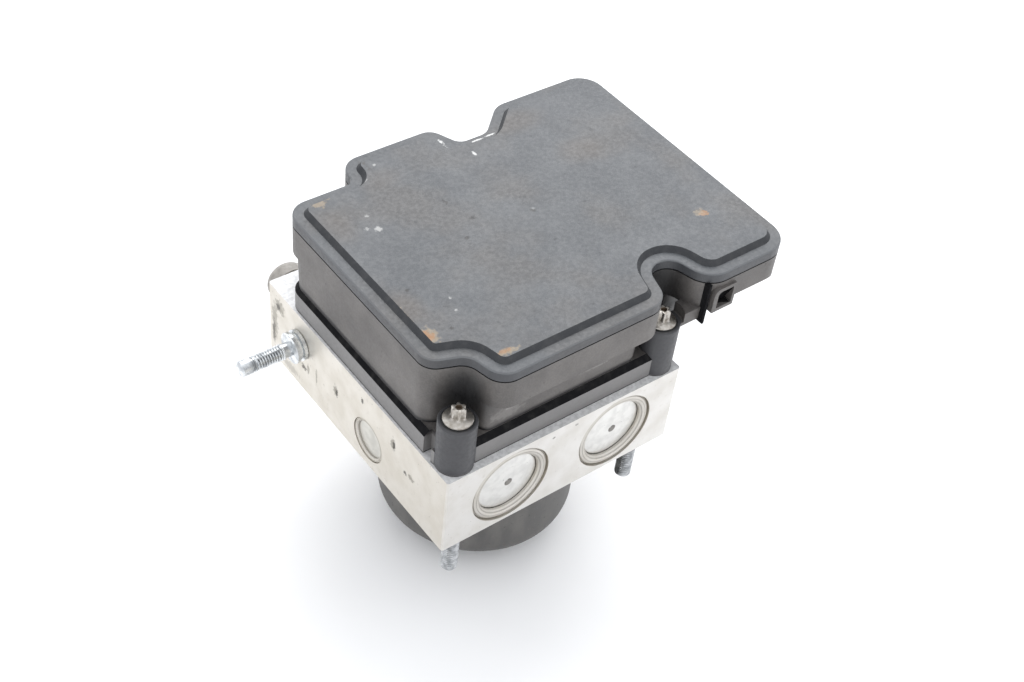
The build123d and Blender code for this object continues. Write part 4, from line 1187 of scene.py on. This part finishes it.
@dataclass
class ControlUnit:
    """The moulded housing with its lid, board, contacts, seal and screws."""

    block_top: float = 82.5
    flange_h: float = 9.6
    flange_bevel: float = 2.0
    boss_r: float = 6.5
    boss_h: float = 20.0
    washer_r: float = 4.95
    seam_z: float = 117.2
    rim_z: float = 120.8
    lid_top: float = 122.8
    window_x: tuple[float, float] = (58.7, 65.5)
    window_z: tuple[float, float] = (106.3, 113.3)
    window_face: float = -44.8
    slot_x: tuple[float, float] = (54.78, 56.02)
    slot_y: tuple[float, float] = (-44.5, -41.1)
    slot_z: tuple[float, float] = (99.6, 117.0)
    bead_y: tuple[float, float] = (-36.2, 60.8)
    bead_section: tuple[tuple[float, float], ...] = (
        (88.9, 107.31),
        (89.66, 107.31),
        (89.79, 107.84),
        (89.62, 107.84),
        (89.35, 107.62),
    )
    bead_steps: int = 24
    rib_arc_steps: int = 10
    rib_bevel: float = 0.2
    least_slope: float = 0.2

    def build_bead(self, housing: bpy.types.Material) -> None:
        """Builds the bead along the tray's right inner corner, which closes its thin wall foot.

        Args:
            housing: The housing's material.
        """
        low, high = self.bead_y
        places = [low + (high - low) * step / self.bead_steps for step in range(self.bead_steps + 1)]
        rings = [[(x * MM, y * MM, z * MM) for x, z in self.bead_section] for y in places]
        add_piece(skin("tray_corner_bead", rings), (housing,))

    def build_slot_shade_rib(self) -> None:
        """Builds the thin dark rib that stands in the slot beside the window, with its rounded foot; its
        dark colour is painted shade in the slot.
        """
        left, right = self.slot_x
        low, high = self.slot_z
        front, back = self.slot_y
        half, middle = (right - left) / 2, (left + right) / 2
        arc = [math.pi + n * math.pi / self.rib_arc_steps for n in range(self.rib_arc_steps + 1)]
        outline = [(middle + half * math.cos(a), low + half + half * math.sin(a)) for a in arc]
        outline += [(right, high), (left, high)]
        rings = []
        for y, margin in ((front, self.rib_bevel), (front + self.rib_bevel, 0.0), (back, 0.0)):
            narrow = 1.0 - margin / half
            ring = [(middle + (x - middle) * narrow, y, max(z, low + margin)) for x, z in outline]
            rings.append([[c * MM for c in place] for place in ring])
        # Very dark painted shade in the slot beside the window.
        shade = GrimyShade("rib_shade", (0.006, 0.006, 0.007), (0.02, 0.02, 0.02))
        add_piece(skin("slot_shade_rib", rings), (shade.make(),))

    def housing_finish(self) -> MouldedPlastic:
        """Finish of the housing: dusty walls, with painted shade on the shoulder, at the housing's foot and
        seam, on the screw bosses and around their washers, in the notches and under the tray.

        Returns:
            The finish.
        """
        # Very dark painted shade, laid on the shoulder, the housing's foot, the seam's gap, the washers'
        # rims and the notches below.
        painted_shade_black = (0.010, 0.010, 0.011)
        shoulder = self.block_top + self.flange_h
        # Painted shade for the screw bosses, which stand in the notches under the tray.
        boss = (0.046, 0.046, 0.050)
        dusty = (0.21, 0.207, 0.207)
        upright = (-0.2, 0.2)
        foot, seat = self.block_top + 0.6, self.block_top + self.boss_h - 0.2
        collars = []
        for x, y in SCREW_PLACES:
            # Painted shade: each boss is darkened, and a very dark ring of shade is laid around its washer.
            collars.append(Collar(x, y, -1.0, self.boss_r + 0.1, foot, boss, 1.0))
            collars.append(Collar(x, y, self.washer_r, self.washer_r + 0.6, seat, painted_shade_black, 0.9))
        return MouldedPlastic(
            "housing_moulding",
            (0.086, 0.079, 0.075),
            (0.185, 0.172, 0.161),
            dust_share=0.4,
            rough=0.42,
            erosion=Relief(0.5, 2.0, 0.03),
            zones=(
                Zone(self.block_top, shoulder - self.flange_bevel, 0.2, dusty, 0.6, upright),
                # Painted shade: a dark band at the wall's foot above the shoulder, a shadow line where the
                # housing meets the block, and shade in the seam's gap.
                Zone(shoulder - 0.1, shoulder + 0.4, 1.6, painted_shade_black, 0.9, upright),
                Zone(self.block_top - 0.2, self.block_top + 0.35, 0.1, painted_shade_black, 1.0),
                Zone(self.seam_z - 0.5, self.seam_z + 0.1, 0.05, painted_shade_black, 1.0),
            ),
            collars=tuple(collars),
            marks=(
                # Painted shade in the front notches, beside the right front boss, in the shroud's corner, on
                # the left wall behind the front boss and under the tray's front overhang; the last three
                # marks are scuffs.
                Mark((-34.5, -32.0, 106.0), (14.5, 12.5, 16.0), painted_shade_black, 0.98),
                Mark((44.0, -29.0, 108.0), (22.0, 15.0, 24.0), painted_shade_black, 0.98),
                Mark((36.0, -36.0, 106.0), (5.0, 7.0, 12.0), painted_shade_black, 0.9),
                Mark((56.0, -22.0, 91.0), (12.0, 14.0, 16.0), painted_shade_black, 0.95),
                Mark((-46.4, -31.0, 95.0), (2.0, 9.0, 10.0), painted_shade_black, 0.6),
                Mark((0.0, -40.4, 104.6), (46.0, 3.0, 4.0), painted_shade_black, 0.2),
                Mark((-22.0, -40.4, 100.0), (4.6, 1.5, 2.2), (0.30, 0.29, 0.275), 0.7, 1.2),
                Mark((-24.0, -40.4, 97.0), (9.0, 1.5, 3.4), (0.21, 0.20, 0.19), 0.5, 1.6),
                Mark((12.0, -40.4, 99.0), (7.0, 1.5, 1.6), (0.27, 0.26, 0.25), 0.45, 0.8),
            ),
        )

    def pick_shade(self, centre: Vector, normal: Vector) -> int:
        """Picks the faces that take the very dark painted shade.

        Args:
            centre: A face's centre, in millimetres.
            normal: Its normal.

        Returns:
            Number 1 for the bevel above the flange and for the window's inside, and 0 for the rest.
        """
        top = self.block_top + self.flange_h
        sloping = self.least_slope < normal.z < NEARLY_UP
        bevel = sloping and top - self.flange_bevel - TOUCH < centre.z < top + TOUCH
        across = self.window_x[0] - TOUCH < centre.x < self.window_x[1] + TOUCH
        upright = self.window_z[0] - TOUCH < centre.z < self.window_z[1] + TOUCH
        inside = across and upright and self.window_face + 0.3 < centre.y < 0.0
        return int(bevel or inside)

    def pick_slope(self, centre: Vector, normal: Vector) -> int:
        """Number 1 for the slopes between the lid's rim and its raised field, and 0 for the rest."""
        return int(self.least_slope < normal.z < NEARLY_UP and self.rim_z < centre.z < self.lid_top)

    def lid_finish(self) -> MouldedPlastic:
        """Finish of the lid, with its stains and chips and a painted highlight along the rim's outer edge.

        Returns:
            The finish.
        """
        top = self.lid_top
        rust = (0.26, 0.125, 0.045)
        beige = (0.24, 0.185, 0.12)
        brown = (0.070, 0.056, 0.046)
        pale = (0.62, 0.62, 0.61)
        chip = (0.33, 0.33, 0.325)
        pit = (0.012, 0.012, 0.013)
        marks = (
            Mark((-40.0, -6.0, top), (8, 12, 3), brown, 0.6),
            Mark((57.9, 29.9, top), (13, 10, 3), brown, 0.5),
            Mark((48.0, 55.0, top), (16, 9, 3), brown, 0.5),
            Mark((-38.0, 38.0, top), (8, 13, 3), brown, 0.5),
            Mark((-12.0, 52.0, top), (12, 7, 3), brown, 0.35),
            Mark((-40.8, -19.8, top), (3.0, 4.4, 2), beige, 0.75, 1.6),
            Mark((-41.2, -19.6, top), (1.9, 2.8, 2), rust, 0.95, 1.4),
            Mark((-42.6, -7.5, top), (1.2, 6.5, 2), beige, 0.75, 1.3),
            Mark((-24.6, -37.6, top), (5.0, 1.7, 2), beige, 0.85, 1.5),
            Mark((-25.6, -37.0, top), (3.0, 1.1, 2), rust, 0.75, 1.2),
            Mark((72.9, -19.2, top), (2.2, 1.9, 2), rust, 0.85, 1.1),
            Mark((72.0, -18.0, top), (2.8, 1.8, 2), beige, 0.55, 1.3),
            Mark((-37.4, 51.2, top), (2.8, 3.4, 3), beige, 0.7, 1.6),
            Mark((-34.0, 52.4, top), (3.0, 1.4, 3), beige, 0.55, 1.4),
            Mark((-12.4, 60.5, self.rim_z), (1.6, 4.6, 3), (0.02, 0.018, 0.015), 0.9, 1.4),
            Mark((17.6, 58.2, self.rim_z), (0.9, 3.9, 3), pale, 1.0, 1.0),
            Mark((31.0, 55.0, self.rim_z), (3.0, 0.5, 3), pale, 0.9, 0.8),
            Mark((36.8, 55.2, self.rim_z), (2.8, 0.5, 3), pale, 0.9, 0.8),
            Mark((24.0, 47.2, top), (0.7, 1.6, 1), pale, 0.8, 0.8),
            Mark((-9.9, 59.3, top), (0.7, 0.7, 1), chip, 0.8, 0.6),
            Mark((-17.3, 54.1, top), (1.4, 1.0, 1), chip, 0.8, 0.7),
            Mark((-26.9, 30.2, top), (1.7, 1.5, 1), chip, 0.9, 0.9),
            Mark((-30.3, 32.2, top), (1.0, 0.9, 1), chip, 0.6, 0.6),
            Mark((-26.7, 37.7, top), (0.9, 0.8, 1), chip, 0.6, 0.6),
            Mark((23.1, 12.0, top), (1.5, 1.5, 1), pit, 1.0),
            Mark((23.7, 12.7, top), (0.9, 0.9, 1), (0.15, 0.155, 0.16), 1.0),
            Mark((-0.2, 30.5, top), (0.8, 1.9, 1), pit, 1.0, 0.5),
            Mark((2.8, 19.1, top), (1.3, 1.0, 1), pit, 1.0, 0.5),
            Mark((-4.6, 11.7, top), (1.1, 1.0, 1), pit, 1.0, 0.5),
            Mark((-35.5, 1.0, top), (1.0, 0.9, 1), pit, 1.0, 0.5),
            Mark((-33.3, -20.5, top), (0.9, 0.9, 1), pit, 1.0, 0.5),
            Mark((-26.0, -9.0, top), (0.6, 0.6, 1), chip, 0.7, 0.5),
            Mark((-27.5, -14.5, top), (0.8, 0.6, 1), chip, 0.7, 0.5),
        )
        return MouldedPlastic(
            "lid_moulding",
            (0.038, 0.044, 0.053),
            (0.112, 0.118, 0.126),
            dust_share=0.35,
            rough=0.37,
            erosion=Relief(0.4, 2.0, 0.03),
            mottle=Grain(1.3, 5.0, 0.3, 0.7, 0.30),
            tint=(0.072, 0.062, 0.054),
            zones=(
                Zone(self.seam_z - 0.5, self.rim_z - 0.7, 0.3, (0.05, 0.05, 0.054), 0.6, (-0.3, 0.3)),
                # Painted highlight along the rim's sloping outer edge.
                Zone(self.rim_z - 0.6, self.rim_z - 0.02, 0.1, (0.14, 0.144, 0.15), 0.7, (0.25, 0.93)),
            ),
            marks=marks,
        )

    def dress(self) -> None:
        """Dresses the housing, the lid and what is inside them."""
        # Very dark painted shade on the bevel above the flange and inside the window.
        grime = GrimyShade("shoulder_painted_shade", (0.006, 0.006, 0.007), (0.03, 0.029, 0.028))
        housing = self.housing_finish().make()
        dress_faces("ecu_housing", (housing, grime.make()), self.pick_shade)
        self.build_bead(housing)
        # Painted shade: the lid's slopes take a darker matte tone that stands in for the dark reflection on
        # them.
        slope = GrimyShade("lid_slope_shade", (0.040, 0.042, 0.046), (0.070, 0.071, 0.073), 0.7, 0.3)
        dress_faces("ecu_cover", (self.lid_finish().make(), slope.make()), self.pick_slope)
        dress("ecu_seal", PlainFinish("gasket_rubber", (0.02, 0.02, 0.02), 0.7).make())
        dress("circuit_board", PlainFinish("board_lacquer", (0.02, 0.12, 0.06), 0.35).make())
        dress("board_parts", PlainFinish("chip_plastic", (0.02, 0.02, 0.02), 0.5).make())
        dress("pin_carrier", PlainFinish("carrier_plastic", (0.03, 0.03, 0.032), 0.5).make())
        dress("connector_pins", PlainFinish("contact_brass", (0.72, 0.62, 0.42), 0.25, 1.0).make())


@dataclass
class HousingScrews:
    """The screws that clamp the housing: flanged heads with six rounded lobes and a blind hollow."""

    places: tuple[tuple[float, float], ...] = SCREW_PLACES
    seat_z: float = 102.5
    lobes: int = 6
    lobe_rise: float = 0.42
    segments: int = 96
    profile: tuple[tuple[float, float, float], ...] = (
        (-29.0, 2.4, 0.0),
        (0.0, 2.4, 0.0),
        (0.01, 4.75, 0.0),
        (0.15, 4.95, 0.0),
        (0.70, 4.95, 0.0),
        (0.90, 4.80, 0.0),
        (1.30, 3.10, 0.0),
        (1.45, 2.45, 0.4),
        (1.60, 2.12, 1.0),
        (5.00, 2.10, 1.0),
        (5.25, 1.92, 0.8),
        (5.30, 1.70, 0.4),
        (5.30, 1.15, 0.0),
        (5.10, 1.05, 0.0),
        (4.00, 0.95, 0.0),
        (3.80, 0.20, 0.0),
    )
    hollow_from: int = 12
    sharp_deg: float = 40.0
    plating: PlatedSteel = PlatedSteel("screw_plating", (0.50, 0.475, 0.44), (0.36, 0.33, 0.29), 0.34, 1.4)
    hollow: PlainFinish = PlainFinish("screw_hollow", (0.13, 0.095, 0.065), 0.6, 0.4)

    def build_screw(self, name: str, x: float, y: float) -> bpy.types.Mesh:
        """Builds one screw as a closed mesh of rings about its axis.

        Args:
            name: The mesh's name.
            x: Its place along X, in millimetres.
            y: Its place along Y, in millimetres.

        Returns:
            The mesh, with the hollow in the second material.
        """
        rings = []
        for height, radius, star in self.profile:
            ring = []
            for n in range(self.segments):
                angle = n / self.segments * math.tau
                r = radius + star * self.lobe_rise * math.cos(self.lobes * angle)
                spot = (x + r * math.cos(angle), y + r * math.sin(angle), self.seat_z + height)
                ring.append([c * MM for c in spot])
            rings.append(ring)
        mesh = skin(name, rings, smooth=True, inner_from=self.hollow_from)
        mesh.set_sharp_from_angle(angle=math.radians(self.sharp_deg))
        return mesh

    def build(self) -> None:
        """Builds the screws in place of the plain ones."""
        materials = (self.plating.make(), self.hollow.make())
        for number, (x, y) in enumerate(self.places):
            mesh = self.build_screw(f"housing_screw_{number}", x, y)
            add_piece(mesh, materials, "ecu_screws")


@dataclass
class MountingStuds:
    """The threaded studs that hold the unit in its bracket."""

    thread: Thread = Thread(3.0, 0.62, 1.0)
    worn_zinc: Colour = (0.46, 0.48, 0.50)
    dull_zinc: Colour = (0.50, 0.51, 0.52)
    dull_worn: Colour = (0.30, 0.31, 0.32)
    bright_zinc: Colour = (0.76, 0.78, 0.79)
    base_places: tuple[tuple[float, float], ...] = ((-39.2, -37.6), (39.2, -37.6))
    block_z: float = 48.5
    base_out: float = 22.5
    side_start: Point = (-49.0, 43.7, 69.5)
    root_r: float = 2.5
    root_depth: float = 10.9
    rough: float = 0.24
    base_thread: tuple[float, float] = (1.3, 21.6)
    side_thread: tuple[float, float] = (7.6, 20.0)

    def base_profile(self) -> tuple[tuple[float, float, bool], ...]:
        """Heights and radii of a base stud, from inside the block to its tip.

        Returns:
            Rows of a height, a radius and whether the stretch that ends there is threaded.
        """
        return (
            (-self.root_depth, self.root_r, False),
            (0.0, self.root_r, False),
            (0.02, 2.9, False),
            (1.0, 2.9, False),
            (1.2, 3.0, False),
            (self.base_out - 0.8, 3.0, True),
            (self.base_out, 2.35, False),
        )

    def side_profile(self) -> tuple[tuple[float, float, bool], ...]:
        """Heights and radii of the side stud with its double collar and plain point.

        Returns:
            Rows of a height, a radius and whether the stretch that ends there is threaded.
        """
        return (
            (-self.root_depth, self.root_r, False),
            (0.0, self.root_r, False),
            (0.02, 5.6, False),
            (0.3, 5.9, False),
            (1.5, 5.9, False),
            (1.8, 5.0, False),
            (2.7, 5.0, False),
            (3.0, 5.9, False),
            (4.2, 5.9, False),
            (4.5, 5.4, False),
            (4.52, 2.7, False),
            (7.3, 2.7, False),
            (7.5, 3.0, False),
            (19.0, 3.0, True),
            (19.2, 2.5, False),
            (19.8, 2.5, False),
            (20.1, 2.95, False),
            (23.6, 2.95, False),
            (24.3, 2.3, False),
        )

    def finish(self, name: str, centre: Point, axis: str, span: tuple[float, float]) -> bpy.types.Material:
        """Zinc plating of one stud, with grime in its thread's roots.

        Args:
            name: The material's name.
            centre: A point on the stud's axis.
            axis: The axis, X or Z.
            span: Where the thread starts and ends along the axis, in millimetres.

        Returns:
            The material.
        """
        if axis == "Z":
            tones, cloud_mm, root_grime = (self.dull_zinc, self.dull_worn), 2.0, 0.95
        else:
            tones, cloud_mm, root_grime = (self.bright_zinc, self.worn_zinc), 2.6, 0.4
        return PlatedSteel(name, *tones, self.rough, cloud_mm, centre, axis, span, root_grime).make()

    def build(self) -> None:
        """Builds the threaded studs in place of the plain ones."""
        near, far = self.base_thread
        for number, (x, y) in enumerate(self.base_places):
            name = f"base_stud_{number}"
            start = (x, y, self.block_z)
            rod = TurnedRod(start, Axis.MINUS_Z, self.base_profile(), self.thread)
            zinc = self.finish(f"{name}_zinc", start, "Z", (self.block_z - far, self.block_z - near))
            add_piece(rod.build(name), (zinc,), "base_studs")
        rod = TurnedRod(self.side_start, Axis.MINUS_X, self.side_profile(), self.thread)
        near, far = self.side_thread
        face = self.side_start[0]
        zinc = self.finish("side_stud_zinc", self.side_start, "X", (face - far, face - near))
        add_piece(rod.build("side_stud_threaded"), (zinc,), "side_stud")


# ---------------------------------------------------------------- studio
@dataclass
class Studio:
    """Pale floor, soft overhead light and the camera."""

    camera_at: Point = (-241.8, -280.7, 445.5)
    aim_at: Point = (5.11, -5.97, 85.0)
    roll_deg: float = 7.35
    lens: float = 52.90
    floor_half: float = 3.0
    sky: Colour = (0.96, 0.975, 1.0)
    sky_strength: float = 1.28
    panel_at: Point = (720.0, 790.0, 1120.0)
    panel_size: tuple[float, float] = (1.5, 0.85)
    panel_power: float = 17.0
    panel_aim: Point = (0.0, 0.0, 50.0)
    paper: tuple[Colour, Colour] = ((0.885, 0.885, 0.89), (0.91, 0.91, 0.91))
    paper_grain_mm: float = 30.0

    def build_camera(self) -> None:
        """Places the camera."""
        data = bpy.data.cameras.new("studio_camera")
        data.lens = self.lens
        data.sensor_width = 36.0
        data.clip_start = 0.01
        camera = link("studio_camera", data)
        place = Vector(self.camera_at) * MM
        aim = (Vector(self.aim_at) * MM - place).to_track_quat("-Z", "Y").to_matrix().to_4x4()
        roll = Matrix.Rotation(math.radians(self.roll_deg), 4, "Z")
        camera.matrix_world = Matrix.Translation(place) @ aim @ roll
        bpy.context.scene.camera = camera

    def build_floor(self) -> None:
        """Lays the plain pale floor under the unit."""
        mesh = bpy.data.meshes.new("studio_floor")
        half = self.floor_half
        corners = [(-half, -half, 0), (half, -half, 0), (half, half, 0), (-half, half, 0)]
        mesh.from_pydata(corners, [], [(0, 1, 2, 3)])
        floor = link("studio_floor", mesh)
        shader = Shader("floor_paper")
        shader.colour(shader.mix(shader.noise(self.paper_grain_mm), *self.paper))
        shader.set(Roughness=0.9, Specular_IOR_Level=0.2)
        mesh.materials.append(shader.material)

    def build_light(self) -> None:
        """Lights the scene with a soft sky and one large panel high behind the unit."""
        world = bpy.data.worlds.new("studio_world")
        world.use_nodes = True
        background = world.node_tree.nodes["Background"]
        background.inputs["Color"].default_value = (*self.sky, 1.0)
        background.inputs["Strength"].default_value = self.sky_strength
        bpy.context.scene.world = world
        bpy.context.scene.view_settings.view_transform = "Standard"
        light = bpy.data.lights.new("soft_panel", "AREA")
        light.shape = "RECTANGLE"
        light.size, light.size_y = self.panel_size
        light.energy = self.panel_power
        panel = link("soft_panel", light)
        panel.location = Vector(self.panel_at) * MM
        aim = Vector(self.panel_aim) * MM - panel.location
        panel.rotation_euler = aim.to_track_quat("-Z", "Y").to_euler()


def main() -> None:
    """Builds the studio and every sub-assembly."""
    logging.basicConfig(level=logging.INFO)
    studio = Studio()
    studio.build_camera()
    studio.build_floor()
    studio.build_light()
    HydraulicBlock().dress()
    PumpMotor().dress()
    InnerHydraulics().dress()
    unit = ControlUnit()
    unit.dress()
    unit.build_slot_shade_rib()
    HousingScrews().build()
    MountingStuds().build()


if __name__ == "__main__":
    main()
